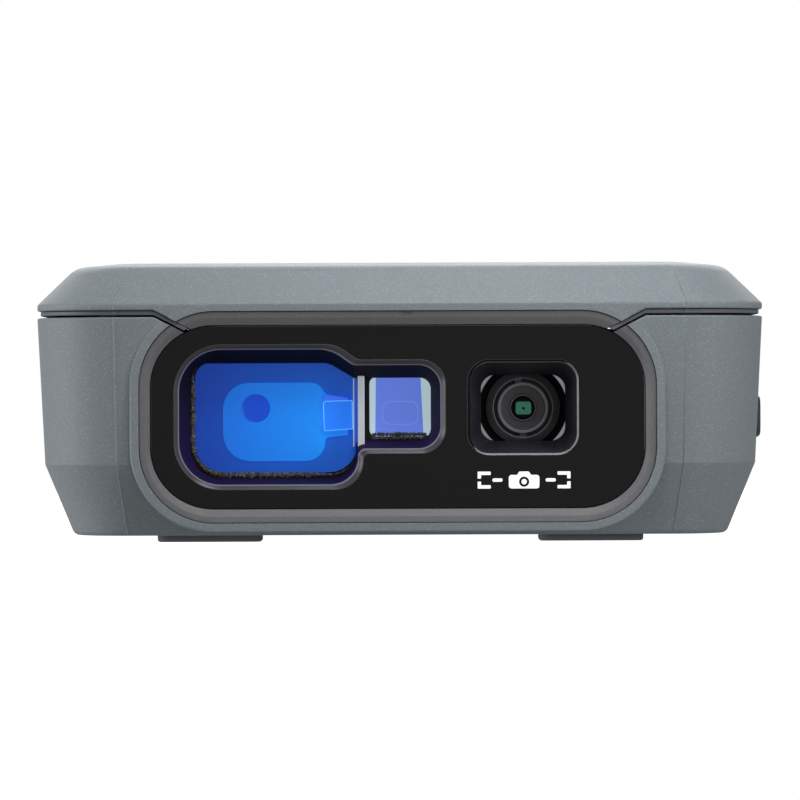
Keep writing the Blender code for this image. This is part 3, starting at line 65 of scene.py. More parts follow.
# ---------------------------------------------------------------- places read from the CAD solids
def box_mm(node: str) -> tuple[Array, Array]:
    """A CAD solid's box.

    Args:
        node: the solid's name.
    Returns:
        Its lowest and highest corners, in millimetres.
    """
    low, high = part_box(node)
    return np.array(low) / MM, np.array(high) / MM


def middle_mm(node: str) -> Array:
    """The middle of a CAD solid's box, in millimetres."""
    low, high = box_mm(node)
    return (low + high) / 2


@dataclass(frozen=True)
class Body:
    """The housing's main planes, in millimetres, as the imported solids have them."""

    half_width: float
    front: float
    rear: float
    base: float
    top: float
    parting: float
    dip: float
    window_x: float
    window_low: float
    window_high: float

    @staticmethod
    def read() -> "Body":
        """Reads the planes from the shells, the seal and the window trim."""
        low, _ = box_mm("lower_housing")
        _, high = box_mm("upper_housing")
        seal_low, seal_high = box_mm("housing_seal")
        trim_low, trim_side = box_mm("window_trim_lower")
        _, trim_high = box_mm("window_trim_upper")
        strip, skin = 0.14, 0.3
        return Body(
            half_width=float(high[0]) + skin, front=float(low[1]), rear=float(high[1]), base=float(low[2]),
            top=float(high[2]), parting=float(seal_high[2]) - strip, dip=float(seal_low[2]) + strip,
            window_x=float(trim_side[0]), window_low=float(trim_low[2]), window_high=float(trim_high[2]),
        )


BODY = Body.read()


# ---------------------------------------------------------------- outlines and profiles
def rounded(corners: Sequence[tuple[float, float, float]], steps: int = 8, closed: bool = True) -> Array:
    """An outline whose corners are turned into arcs.

    Each arc's middle lies on the corner's bisector, its radius over the sine of the half angle away, and the
    arc turns from one tangent point to the other in equal steps. An open path keeps its two ends sharp.

    Args:
        corners: (u, v, radius) of each corner in order.
        steps: the steps in each arc.
        closed: whether the last corner joins the first.
    Returns:
        The points as an (n, 2) array.
    """
    table = np.array(corners, float)
    here = table[:, :2]
    back = np.roll(here, 1, axis=0) - here
    ahead = np.roll(here, -1, axis=0) - here
    ahead_length = np.linalg.norm(ahead, axis=1)
    back /= np.linalg.norm(back, axis=1)[:, None]
    ahead /= ahead_length[:, None]
    half = np.arccos(np.clip((back * ahead).sum(axis=1), -1, 1)) / 2
    radius = np.maximum(table[:, 2], 1e-4)
    want = radius / np.tan(half)
    share = np.minimum(1.0, 0.98 * ahead_length / (want + np.roll(want, -1)))
    reach = want * np.minimum(share, np.roll(share, 1))
    radius = reach * np.tan(half)
    bisector = back + ahead
    bisector /= np.linalg.norm(bisector, axis=1)[:, None]
    middle = here + bisector * (radius / np.sin(half))[:, None]
    first = here + back * reach[:, None] - middle
    last = here + ahead * reach[:, None] - middle
    turn = np.arctan2(first[:, 0] * last[:, 1] - first[:, 1] * last[:, 0], (first * last).sum(axis=1))
    angle = turn[:, None] * np.linspace(0, 1, steps + 1)[None, :]
    u = first[:, :1] * np.cos(angle) - first[:, 1:] * np.sin(angle)
    v = first[:, :1] * np.sin(angle) + first[:, 1:] * np.cos(angle)
    points = middle[:, None, :] + np.stack([u, v], axis=-1)
    if closed:
        return points.reshape(-1, 2)
    return np.concatenate([here[:1], points[1:-1].reshape(-1, 2), here[-1:]])


def slab(low: tuple[float, float], high: tuple[float, float], radius: float, steps: int = 8) -> Outline:
    """A rectangle with round corners, as a function of how far it is grown.

    Args:
        low: its lowest corner.
        high: its highest corner.
        radius: the corner radius before growing.
        steps: the steps in each corner.
    Returns:
        A function from grow to an (n, 2) outline.
    """

    def outline(grow: float) -> Array:
        """The rectangle's points once it is grown."""
        r = max(radius + grow, 0.05)
        u0, v0, u1, v1 = low[0] - grow, low[1] - grow, high[0] + grow, high[1] + grow
        return rounded([(u0, v0, r), (u1, v0, r), (u1, v1, r), (u0, v1, r)], steps)

    return outline


def centred(centre: Sequence[float], size: Sequence[float], radius: float, steps: int = 8) -> Outline:
    """A round-cornered rectangle about a centre, as a function of how far it is grown."""
    u, v = centre
    return slab((u - size[0] / 2, v - size[1] / 2), (u + size[0] / 2, v + size[1] / 2), radius, steps)


def disc(centre: Sequence[float], radius: float, steps: int = 64) -> Outline:
    """A circle about a centre, as a function of how far its radius is grown."""
    turn = np.linspace(0, 2 * math.pi, steps, endpoint=False)
    unit = np.stack([np.cos(turn), np.sin(turn)], axis=1)
    return lambda grow: np.array(centre, float) + unit * (radius + grow)


def fixed(corners: Sequence[tuple[float, float, float]], steps: int = 6) -> Outline:
    """An outline from rounded corners that moves each point along its own normal when it is grown."""
    base = rounded(corners, steps)
    along = np.roll(base, -1, axis=0) - np.roll(base, 1, axis=0)
    normal = np.stack([along[:, 1], -along[:, 0]], axis=1)
    normal /= np.maximum(np.linalg.norm(normal, axis=1), 1e-9)[:, None]
    return lambda grow: base + normal * grow


def stand(axis: str, outline: Array, station: float) -> Array:
    """An outline's points in space at a station on an axis: Z takes (x, y), Y (x, z) and X (y, z)."""
    flat = np.full(len(outline), station)
    u, v = outline[:, 0], outline[:, 1]
    order = {"Z": (u, v, flat), "Y": (u, flat, v), "X": (flat, u, v)}[axis]
    return np.stack(order, axis=1)


def edged(low: float, high: float, low_edge: float = 0.0, high_edge: float = 0.0, steps: int = 3) -> Levels:
    """(grow, station) levels of a slab whose two rims are rounded by quarter circles.

    Args:
        low: where the slab starts on its axis.
        high: where it ends.
        low_edge: the radius of the rim at the start.
        high_edge: the radius of the rim at the end.
        steps: the steps in each quarter circle.
    Returns:
        The levels in order.
    """
    turn = np.linspace(0, math.pi / 2, steps + 1)
    start = [(low_edge * (math.sin(t) - 1), low + low_edge * (1 - math.cos(t))) for t in turn]
    end = [(high_edge * (math.cos(t) - 1), high - high_edge * (1 - math.sin(t))) for t in turn]
    return (start if low_edge else [(0.0, low)]) + (end if high_edge else [(0.0, high)])


# ---------------------------------------------------------------- surfaces and meshes
@dataclass
class Surface:
    """Points in millimetres with the corners of each face, ready to go into a mesh."""

    points: Array
    corners: Array
    sizes: Array


def loft(rings: Sequence[Array] | Array, closed: bool = False) -> Surface:
    """The surface through rings of equal point counts.

    Point (i, j) is the j-th point of ring i, and each face joins a pair of neighbours on one ring to the same
    pair on the next. The ends are capped, unless the last ring joins the first.

    Args:
        rings: (k, n, 3) points.
        closed: whether the last ring joins the first.
    Returns:
        The closed surface.
    """
    grid = np.asarray(rings, float)
    count, around = grid.shape[:2]
    row = np.arange(count if closed else count - 1)[:, None]
    column = np.arange(around)[None, :]
    ahead, right = (row + 1) % count, (column + 1) % around
    quads = [row * around + column, row * around + right, ahead * around + right, ahead * around + column]
    faces = np.stack(np.broadcast_arrays(*quads), axis=-1).reshape(-1, 4)
    corners, sizes = [faces.ravel()], [np.full(len(faces), 4)]
    if not closed:
        corners += [np.arange(around)[::-1], (count - 1) * around + np.arange(around)]
        sizes += [np.array([around]), np.array([around])]
    return Surface(grid.reshape(-1, 3), np.concatenate(corners), np.concatenate(sizes))


def extrude(outline: Outline, axis: str, levels: Levels) -> Surface:
    """A closed surface from an outline carried along an axis through (grow, station) levels."""
    return loft([stand(axis, outline(grow), station) for grow, station in levels])


def turned(centre: Sequence[float], axis: str, profile: Levels, steps: int = 64, closed: bool = False) -> Surface:
    """A profile of (radius, station) pairs turned about an axis that runs through centre."""
    circle = disc(centre, 0.0, steps)
    return loft([stand(axis, circle(radius), station) for radius, station in profile], closed)


def turned_edges(profile: Sequence[tuple[float, float, float]], steps: int = 3, closed: bool = True) -> Levels:
    """A turned profile's (radius, station) pairs with its corners rounded, from (radius, station, edge)."""
    return [tuple(p) for p in rounded(profile, steps, closed)]


def make_piece(name: str, surfaces: Surface | Iterable[Surface]) -> bpy.types.Object:
    """Puts one or more closed surfaces into one mesh object with its faces pointing out.

    Args:
        name: the piece's name.
        surfaces: its closed surfaces, in millimetres.
    Returns:
        The object, at the origin.
    """
    parts = [surfaces] if isinstance(surfaces, Surface) else list(surfaces)
    offsets = np.cumsum([0] + [len(part.points) for part in parts[:-1]])
    points = np.concatenate([part.points for part in parts]) * MM
    corners = np.concatenate([part.corners + offset for part, offset in zip(parts, offsets)])
    sizes = np.concatenate([part.sizes for part in parts])
    mesh = bpy.data.meshes.new(name)
    mesh.vertices.add(len(points))
    mesh.loops.add(len(corners))
    mesh.polygons.add(len(sizes))
    mesh.vertices.foreach_set("co", points.astype(np.float32).ravel())
    mesh.loops.foreach_set("vertex_index", corners.astype(np.int32))
    mesh.polygons.foreach_set("loop_start", (np.cumsum(sizes) - sizes).astype(np.int32))
    mesh.update(calc_edges=True)
    mesh.validate()
    work = bmesh.new()
    work.from_mesh(mesh)
    bmesh.ops.recalc_face_normals(work, faces=work.faces)
    work.to_mesh(mesh)
    work.free()
    piece = bpy.data.objects.new(name, mesh)
    bpy.context.scene.collection.objects.link(piece)
    return piece


def settle(piece: bpy.types.Object) -> bpy.types.Object:
    """Applies a piece's modifiers to its mesh."""
    graph = bpy.context.evaluated_depsgraph_get()
    mesh = bpy.data.meshes.new_from_object(piece.evaluated_get(graph), depsgraph=graph)
    old = piece.data
    piece.modifiers.clear()
    piece.data = mesh
    bpy.data.meshes.remove(old)
    mesh.name = piece.name
    return piece


def combine(piece: bpy.types.Object, operation: str, surfaces: Iterable[Surface]) -> bpy.types.Object:
    """Joins closed surfaces to a piece, or cuts them from it, one at a time.

    Args:
        piece: the piece to change.
        operation: UNION or DIFFERENCE.
        surfaces: the closed surfaces.
    Returns:
        The same piece.
    """
    tools = [make_piece(f"tool_{index}", surface) for index, surface in enumerate(surfaces)]
    for tool in tools:
        modifier = piece.modifiers.new(operation.lower(), "BOOLEAN")
        modifier.operation = operation
        modifier.solver = "MANIFOLD"
        modifier.object = tool
    settle(piece)
    for tool in tools:
        mesh = tool.data
        bpy.data.objects.remove(tool)
        bpy.data.meshes.remove(mesh)
    if not piece.data.polygons:
        raise ValueError(f"{piece.name} has no faces left")
    return piece


def cut(piece: bpy.types.Object, *surfaces: Surface) -> bpy.types.Object:
    """Takes closed surfaces away from a piece."""
    return combine(piece, "DIFFERENCE", surfaces)


def fuse(piece: bpy.types.Object, *surfaces: Surface) -> bpy.types.Object:
    """Adds closed surfaces to a piece."""
    return combine(piece, "UNION", surfaces)


# ---------------------------------------------------------------- finishes
def linear(colour: str) -> tuple[float, float, float, float]:
    """An sRGB hex colour as linear red, green, blue and an alpha of one."""
    parts = [int(colour[i : i + 2], 16) / 255 for i in (0, 2, 4)]
    values = [c / 12.92 if c <= 0.04045 else ((c + 0.055) / 1.055) ** 2.4 for c in parts]
    return (*values, 1.0)


class Grain(Enum):
    """How a surface's fine relief is laid out."""

    NONE = "none"
    SPARK = "spark eroded"
    CAST = "cast"
    BRUSHED = "brushed"
    WOVEN = "woven"


@dataclass(frozen=True)
class Finish:
    """A procedural finish on a Principled shader. Sizes of patterns are in millimetres.

    The main colour drifts slowly towards a second one, or fades into it along an axis; specks of a third may be
    scattered over it, and the grain is a fine relief whose depth is given beside its spacing.
    """

    name: str
    colour: str
    second: str
    roughness: float
    drift_mm: float = 9.0
    metallic: float = 0.0
    grain: Grain = Grain.SPARK
    grain_mm: float = 0.3
    depth_mm: float = 0.012
    swing: float = 0.08
    speck: str = ""
    speck_mm: float = 0.22
    speck_share: float = 0.2
    coat: float = 0.0
    coat_roughness: float = 0.05
    specular: float = 0.5
    ior: float = 1.5
    sheen: float = 0.0
    glow: str = ""
    glow_strength: float = 0.0
    stretch: tuple[float, float, float] = (1.0, 1.0, 1.0)
    fade: tuple[str, float, float] | None = None

    def material(self) -> bpy.types.Material:
        """The finish's material, made once and then shared."""
        found = bpy.data.materials.get(self.name)
        return found if found else self.make()

    def make(self) -> bpy.types.Material:
        """Makes the material's nodes."""
        material = bpy.data.materials.new(self.name)
        material.use_nodes = True
        tree = material.node_tree
        shader = tree.nodes["Principled BSDF"]
        sockets = shader.inputs
        sockets["Metallic"].default_value = self.metallic
        sockets["Coat Weight"].default_value = self.coat
        sockets["Coat Roughness"].default_value = self.coat_roughness
        sockets["Sheen Weight"].default_value = self.sheen
        if not self.metallic:
            sockets["IOR"].default_value = self.ior
            sockets["Specular IOR Level"].default_value = self.specular
        if self.glow:
            sockets["Emission Color"].default_value = linear(self.glow)
            sockets["Emission Strength"].default_value = self.glow_strength
        place = add_node(tree, "ShaderNodeTexCoord")
        scaled = add_node(tree, "ShaderNodeMapping", {"Scale": self.stretch}, {"Vector": (place, "Object")})
        drift = add_node(
            tree, "ShaderNodeTexNoise", {"Scale": 1 / (self.drift_mm * MM), "Detail": 3.0, "Roughness": 0.55},
            {"Vector": (scaled, "Vector")},
        )
        factor = (drift, "Fac")
        if self.fade:
            axis, start, end = self.fade
            parts = add_node(tree, "ShaderNodeSeparateXYZ", {}, {"Vector": (place, "Object")})
            ends = {"From Min": start * MM, "From Max": end * MM}
            factor = (add_node(tree, "ShaderNodeMapRange", ends, {"Value": (parts, axis)}), "Result")
        colour = add_mix(tree, linear(self.colour), linear(self.second), factor)
        if self.speck:
            colour = self.scatter(tree, scaled, colour)
        tree.links.new(colour[0].outputs[colour[1]], sockets["Base Color"])
        rough = add_node(
            tree, "ShaderNodeMapRange",
            {"To Min": self.roughness - self.swing / 2, "To Max": self.roughness + self.swing / 2},
            {"Value": (drift, "Fac")},
        )
        tree.links.new(rough.outputs["Result"], sockets["Roughness"])
        if self.grain is not Grain.NONE:
            relief = self.relief(tree, scaled)
            bump = add_node(
                tree, "ShaderNodeBump", {"Distance": self.depth_mm * MM, "Strength": 1.0}, {"Height": relief},
            )
            tree.links.new(bump.outputs["Normal"], sockets["Normal"])
        return material

    def scatter(self, tree: bpy.types.NodeTree, place: bpy.types.Node, under: tuple) -> tuple:
        """Specks where a random cell's value passes the share, round about the cell's middle.

        Args:
            tree: the material's nodes.
            place: the node that gives the place.
            under: the (node, output) of the colour below.
        Returns:
            The (node, output) of the colour with its specks.
        """
        cells = add_node(
            tree, "ShaderNodeTexVoronoi", {"Scale": 1 / (self.speck_mm * MM)}, {"Vector": (place, "Vector")},
        )
        chance = add_node(tree, "ShaderNodeSeparateColor", {}, {"Color": (cells, "Color")})
        chosen = add_node(
            tree, "ShaderNodeMapRange", {"From Min": 1 - self.speck_share, "From Max": 1.0},
            {"Value": (chance, "Red")},
        )
        near = add_node(
            tree, "ShaderNodeMapRange", {"From Min": 0.5, "From Max": 0.1}, {"Value": (cells, "Distance")},
        )
        both = add_node(
            tree, "ShaderNodeMath", {"operation": "MULTIPLY"}, {0: (chosen, "Result"), 1: (near, "Result")},
        )
        return add_mix(tree, under, linear(self.speck), (both, "Value"))

    def relief(self, tree: bpy.types.NodeTree, place: bpy.types.Node) -> tuple:
        """The (node, output) of the grain's height."""
        scale = 1 / (self.grain_mm * MM)
        at = {"Vector": (place, "Vector")}
        if self.grain is Grain.CAST:
            return (
                add_node(tree, "ShaderNodeTexVoronoi", {"Scale": scale, "feature": "SMOOTH_F1"}, at), "Distance",
            )
        if self.grain is Grain.BRUSHED:
            drawn = add_node(tree, "ShaderNodeMapping", {"Scale": (1.0, 0.04, 1.0)}, at)
            return (
                add_node(
                    tree, "ShaderNodeTexNoise", {"Scale": scale, "Detail": 2.0}, {"Vector": (drawn, "Vector")},
                ),
                "Fac",
            )
        if self.grain is Grain.WOVEN:
            across = add_node(tree, "ShaderNodeTexWave", {"Scale": scale / 6, "bands_direction": "X"}, at)
            along = add_node(tree, "ShaderNodeTexWave", {"Scale": scale / 6, "bands_direction": "Y"}, at)
            crossed = add_node(
                tree, "ShaderNodeMath", {"operation": "MULTIPLY"}, {0: (across, "Fac"), 1: (along, "Fac")},
            )
            return (crossed, "Value")
        return (
            add_node(tree, "ShaderNodeTexNoise", {"Scale": scale, "Detail": 4.0, "Roughness": 0.7}, at), "Fac",
        )


def add_node(tree: bpy.types.NodeTree, kind: str, settings: dict | None = None, links: dict | None = None):
    """Adds a node with its settings and links.

    Args:
        tree: the node tree.
        kind: the node's type.
        settings: values by socket name or number, or by the name of a property of the node.
        links: (node, output) by socket name or number.
    Returns:
        The node.
    """
    node = tree.nodes.new(kind)
    for key, value in (settings or {}).items():
        if isinstance(key, str) and key.islower():
            setattr(node, key, value)
        else:
            node.inputs[key].default_value = value
    for key, (other, output) in (links or {}).items():
        tree.links.new(other.outputs[output], node.inputs[key])
    return node


def add_mix(tree: bpy.types.NodeTree, first, second, factor: tuple) -> tuple:
    """A mix of two colours, each a value or a (node, output), by a factor; returns its (node, output)."""
    mix = tree.nodes.new("ShaderNodeMix")
    mix.data_type = "RGBA"
    for socket, value in ((mix.inputs[6], first), (mix.inputs[7], second)):
        if isinstance(value[0], float):
            socket.default_value = value
        else:
            tree.links.new(value[0].outputs[value[1]], socket)
    tree.links.new(factor[0].outputs[factor[1]], mix.inputs[0])
    return (mix, 2)


# Soft-touch elastomer moulded over plastic: dull grey with a fine spark-eroded grain and pale specks.
SOFT_TOUCH = Finish(
    "soft_touch_elastomer_moulded", "858D92", "81898E", 0.6, drift_mm=14, grain_mm=0.14, depth_mm=0.01,
    speck="B2BABE", speck_mm=0.12, speck_share=0.5, specular=0.4, sheen=0.05,
)
# The strip of thermoplastic rubber in the parting line: mid grey, smooth and dull.
SEAM_RUBBER = Finish("thermoplastic_rubber_seam", "6B6E72", "64676B", 0.6, drift_mm=5, depth_mm=0.004)
# Glass-filled nylon of the window trim: dark grey with a fine erosion grain.
TRIM_NYLON = Finish(
    "glass_filled_nylon_eroded", "747478", "6C6C70", 0.5, drift_mm=6, grain_mm=0.14, depth_mm=0.012,
    speck="96969A", speck_mm=0.1, speck_share=0.4,
)
# Polished acrylic window, printed black behind: deep black with a clear gloss.
BLACK_PANE = Finish(
    "acrylic_window_polished_black", "131313", "191817", 0.08, drift_mm=30, grain=Grain.NONE, swing=0.02,
    specular=0.4, ior=1.49,
)
# Machined rim of the acrylic: satin, so its slope catches the side lights.
SATIN_RIM = Finish("acrylic_rim_milled_satin", "4A4A50", "43434A", 0.3, drift_mm=3, grain_mm=0.15, depth_mm=0.004)
# A thin line painted bright as a highlight where the milled rims end.
EDGE_HIGHLIGHT = Finish("acrylic_edge_painted_highlight", "8C8C92", "808088", 0.35, drift_mm=2, grain_mm=0.12, depth_mm=0.01)
# Polycarbonate hood, moulded black, with a painted reflection of the coated lens below: violet and navy low down,
# near black higher up.
HOOD_PAINTED_LENS_REFLECTION = Finish(
    "polycarbonate_hood_painted_lens_reflection", "2A1C48", "1C1A20", 0.65, drift_mm=5, grain_mm=0.16, depth_mm=0.012,
    speck="484658", speck_mm=0.14, speck_share=0.3, specular=0.06, fade=("Z", 8.5, 15.0),
)
# The same moulding round the camera: neutral black with an eroded grain, and pale specks painted as its sparkle.
POCKET_BLACK = Finish(
    "polycarbonate_pocket_eroded", "2C2C32", "24242A", 0.42, drift_mm=2, grain_mm=0.14, depth_mm=0.03,
    speck="7A8090", speck_mm=0.13, speck_share=0.35,
)
# Black polyamide of the camera holder and barrel, turned and dull.
HOLDER_BLACK = Finish(
    "polyamide_turned_black", "626064", "58565A", 0.42, drift_mm=2, grain_mm=0.12, depth_mm=0.006,
)
# Thin rings at the holder's edge, the barrel's rim and the edge of its bore, painted bright as highlights.
PAINTED_HIGHLIGHT_RINGS = Finish(
    "polyamide_painted_highlight", "A2A2A8", "929298", 0.35, drift_mm=1.5, grain_mm=0.1, depth_mm=0.006,
)
# Anti-reflection coated polycarbonate lens flange: deep blue with a hard gloss and a painted glow, lighter
# towards the emitter.
LENS_FLANGE = Finish(
    "lens_flange_coated_blue", "0B40A4", "1074DC", 0.2, drift_mm=3, grain=Grain.NONE, swing=0.04, coat=0.2,
    glow="0A4CDC", glow_strength=0.27, fade=("X", -19.0, -6.0),
)
# The lens's optical zone under the same coating: a bright azure with a painted glow, lighter towards the emitter.
LENS_ZONE = Finish(
    "lens_optical_zone_coated_azure", "0A66D0", "0E9CFF", 0.22, drift_mm=2.4, grain=Grain.NONE, swing=0.05,
    coat=0.3, glow="1080FF", glow_strength=0.42, fade=("X", -15.0, -6.5),
)
# The detector's aperture seen through the lens: a darker round spot, with a painted glow.
LENS_SPOT = Finish(
    "lens_aperture_spot_blue", "1450D0", "1248C0", 0.3, drift_mm=1.2, grain=Grain.NONE, glow="1050F0",
    glow_strength=0.35,
)
# The lens's shoulder over the prism, where the coating turns towards violet, with a painted glow.
LENS_SHOULDER = Finish(
    "lens_shoulder_coated_violet", "3A70E8", "3468E0", 0.2, drift_mm=1.5, grain=Grain.NONE, coat=0.2,
    glow="4070FF", glow_strength=0.5,
)
# The small near-range prism, polished, with a painted glow; its edges are painted bright as highlights, and glow
# too.
PRISM_BLUE = Finish(
    "near_prism_polished", "1E80FF", "2488FC", 0.12, drift_mm=1.5, grain=Grain.NONE, coat=0.3, glow="1C78FF",
    glow_strength=0.5,
)
PRISM_EDGE_HIGHLIGHT = Finish(
    "near_prism_edge_painted_highlight", "6FC4FF", "52B4F8", 0.15, drift_mm=0.8, grain=Grain.NONE, coat=0.5, glow="60B8FF",
    glow_strength=0.6,
)
# Emitter window with its interference coating: violet-blue, and pale green where the coating thins out; every
# part has a painted glow.
EMITTER_VIOLET = Finish(
    "emitter_glass_coated_violet", "7288E0", "6A7ED2", 0.12, drift_mm=2, grain=Grain.NONE, coat=0.4,
    glow="6A8CFF", glow_strength=0.5,
)
EMITTER_EDGE = Finish(
    "emitter_glass_edge_polished", "8E9FE6", "8294DE", 0.2, drift_mm=1.5, grain=Grain.NONE, glow="90A8FF",
    glow_strength=0.5,
)
EMITTER_PALE = Finish(
    "emitter_glass_coated_pale_green", "B4D4D6", "A6C8D2", 0.15, drift_mm=1.5, grain=Grain.NONE, coat=0.4,
    glow="D8F0FB", glow_strength=0.46,
)
# Epoxy bead round the lens: broken black and grey crumbs.
EPOXY = Finish(
    "epoxy_bead_cured", "2A2826", "7A766E", 0.55, drift_mm=0.2, grain_mm=0.12, depth_mm=0.05, speck="E4DCCC",
    speck_mm=0.15, speck_share=0.55,
)
# Zinc light wall and camera shield: bare cast metal with a fine sparkle, and a painted glow that keeps it bright
# in the pockets.
CAST_ZINC = Finish(
    "zinc_die_cast_blasted", "D0D4DA", "BCC0C6", 0.45, drift_mm=1.5, metallic=0.35, grain=Grain.CAST,
    grain_mm=0.16, depth_mm=0.02, glow="E0E6F0", glow_strength=0.22,
)
# Magnesium optics carrier, blackened so that stray light dies in it.
CARRIER_ALLOY = Finish(
    "magnesium_die_cast_blackened", "24232A", "1A1A22", 0.55, drift_mm=3, metallic=0.6, grain=Grain.CAST,
    grain_mm=0.3, depth_mm=0.02,
)
# Camera front lens: dark green coating over a small bright stop.
CAMERA_GLASS = Finish(
    "camera_glass_coated_green", "06110E", "0A1C17", 0.3, drift_mm=0.8, grain=Grain.NONE, specular=0.15,
)
# Anti-glare paint of the camera's flange: the dullest black.
MATT_BLACK = Finish("antiglare_paint_black", "0C0C0E", "101012", 0.7, drift_mm=1, grain_mm=0.1, specular=0.1)
# The camera's stop seen through the front lens: green, with a painted glow.
CAMERA_STOP = Finish(
    "camera_stop_coated_green", "4A8A72", "3F7A66", 0.25, drift_mm=0.5, grain=Grain.NONE, glow="3C8068",
    glow_strength=0.35,
)
# Silicone keys, moulded: near black with a soft sheen. The measuring key is moulded in orange.
SILICONE_DARK = Finish("silicone_keys_moulded", "3A3C40", "34363A", 0.6, drift_mm=4, depth_mm=0.008, sheen=0.15)
SILICONE_ORANGE = Finish("silicone_key_moulded_orange", "E0661A", "D85C14", 0.5, drift_mm=5, depth_mm=0.008)
# Pad-printed ink: flat and slightly raised, with a painted glow.
INK_WHITE = Finish(
    "ink_pad_printed_white", "F4F6F6", "ECEEEE", 0.5, drift_mm=0.6, depth_mm=0.002, glow="FFFFFF",
    glow_strength=0.5,
)
# Display glass and the lit panel below it.
DISPLAY_GLASS = Finish(
    "display_glass_polished", "0B0C0E", "0E0F12", 0.05, drift_mm=20, grain=Grain.NONE, swing=0.02, specular=0.5,
)
DISPLAY_LIT = Finish(
    "display_panel_lit", "10233A", "0E1E33", 0.12, drift_mm=12, grain=Grain.NONE, coat=0.8, glow="1E4878",
    glow_strength=0.25,
)
DISPLAY_TEXT = Finish(
    "display_figures_lit", "E8F0F4", "DDE8EE", 0.2, drift_mm=3, grain=Grain.NONE, coat=0.8, glow="EAF4FF",
    glow_strength=0.5,
)
# Glass-filled plastic of the lever, latch, tray and doors: dark grey, eroded grain.
DARK_PLASTIC = Finish(
    "glass_filled_plastic_moulded", "3B3C40", "35363A", 0.5, drift_mm=6, grain_mm=0.25, depth_mm=0.012,
)
# Rubber of the port flap: black, dull, slightly dusty.
BLACK_RUBBER = Finish("rubber_moulded_black", "2A2B2D", "242527", 0.72, drift_mm=3, grain_mm=0.3, depth_mm=0.015)
# Rubber of the feet: mid grey, dull.
FOOT_RUBBER = Finish(
    "rubber_foot_moulded_grey", "6E7074", "64666A", 0.7, drift_mm=3, grain_mm=0.3, depth_mm=0.015,
)
# Steel: blackened screws and bright turned pins.
SCREW_STEEL = Finish("steel_zinc_blackened", "5A5B5F", "4C4D52", 0.35, drift_mm=1, metallic=1.0, depth_mm=0.004)
BRIGHT_STEEL = Finish(
    "steel_drawn_bright", "B4B6BA", "A4A6AA", 0.25, drift_mm=2, metallic=1.0, grain=Grain.BRUSHED, grain_mm=0.1,
    depth_mm=0.004,
)
# Brass: turned insert, barrel and contacts.
TURNED_BRASS = Finish(
    "brass_turned", "C79A4B", "B98C40", 0.28, drift_mm=2, metallic=1.0, grain_mm=0.1, depth_mm=0.004,
)
# Epoxy-glass circuit board under green solder mask.
SOLDER_MASK = Finish(
    "circuit_board_solder_mask", "0F5A34", "0C4A2C", 0.35, drift_mm=4, grain=Grain.WOVEN, grain_mm=0.5,
    depth_mm=0.01, speck="C8A050", speck_mm=1.6, speck_share=0.2,
)
# Heat-shrunk wrap of the battery: dark blue film.
SHRINK_WRAP = Finish("battery_wrap_shrunk", "1B2A4E", "172444", 0.3, drift_mm=8, grain_mm=2.0, depth_mm=0.03)
# Anodised label: silver and brushed.
LABEL_SILVER = Finish(
    "aluminium_label_anodised", "B8BABC", "ACAEB0", 0.35, drift_mm=6, metallic=1.0, grain=Grain.BRUSHED,
    grain_mm=0.12, depth_mm=0.004,
)
# Optical glass inside the laser barrel.
OPTICAL_GLASS = Finish("optical_glass_polished", "18352C", "142C26", 0.06, grain=Grain.NONE, coat=0.6)
# Acoustic mesh behind the sound slots: black woven polyester.
MESH_BLACK = Finish(
    "polyester_mesh_woven", "17181A", "101113", 0.7, drift_mm=2, grain=Grain.WOVEN, grain_mm=0.35, depth_mm=0.05,
)


# ---------------------------------------------------------------- dressing
def dress(
    piece: bpy.types.Object, finish: Finish, slot: str, *nodes: str, body: str = "housing", crease: float = 30.0
) -> bpy.types.Object:
    """Gives a piece its finish, shading and body, and reports it.

    Args:
        piece: the finished mesh object.
        finish: its finish.
        slot: not used.
        nodes: the CAD solids that it stands for.
        body: the CAD body that it rides on.
        crease: the angle in degrees past which an edge shows as sharp.
    Returns:
        The same piece.
    """
    mesh = piece.data
    mesh.materials.clear()
    mesh.materials.append(finish.material())
    mesh.shade_smooth()
    mesh.set_sharp_from_angle(angle=math.radians(crease))
    weighted = piece.modifiers.new("weighted normals", "WEIGHTED_NORMAL")
    weighted.keep_sharp = True
    weighted.weight = 50
    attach(piece, body)
    if nodes:
        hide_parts(*nodes)
    log.info("%s: %d faces, rides on %s", piece.name, len(mesh.polygons), body)
    return piece


def add_piece(
    name: str, shape: Surface | Iterable[Surface], finish: Finish, slot: str, *nodes: str
) -> bpy.types.Object:
    """Makes a piece that rides on the housing.

    Args:
        name: the piece's name.
        shape: its closed surfaces, in millimetres.
        finish: its finish.
        slot: the record's material slot.
        nodes: the CAD solids that it stands for.
    Returns:
        The dressed piece.
    """
    return dress(make_piece(name, shape), finish, slot, *nodes)


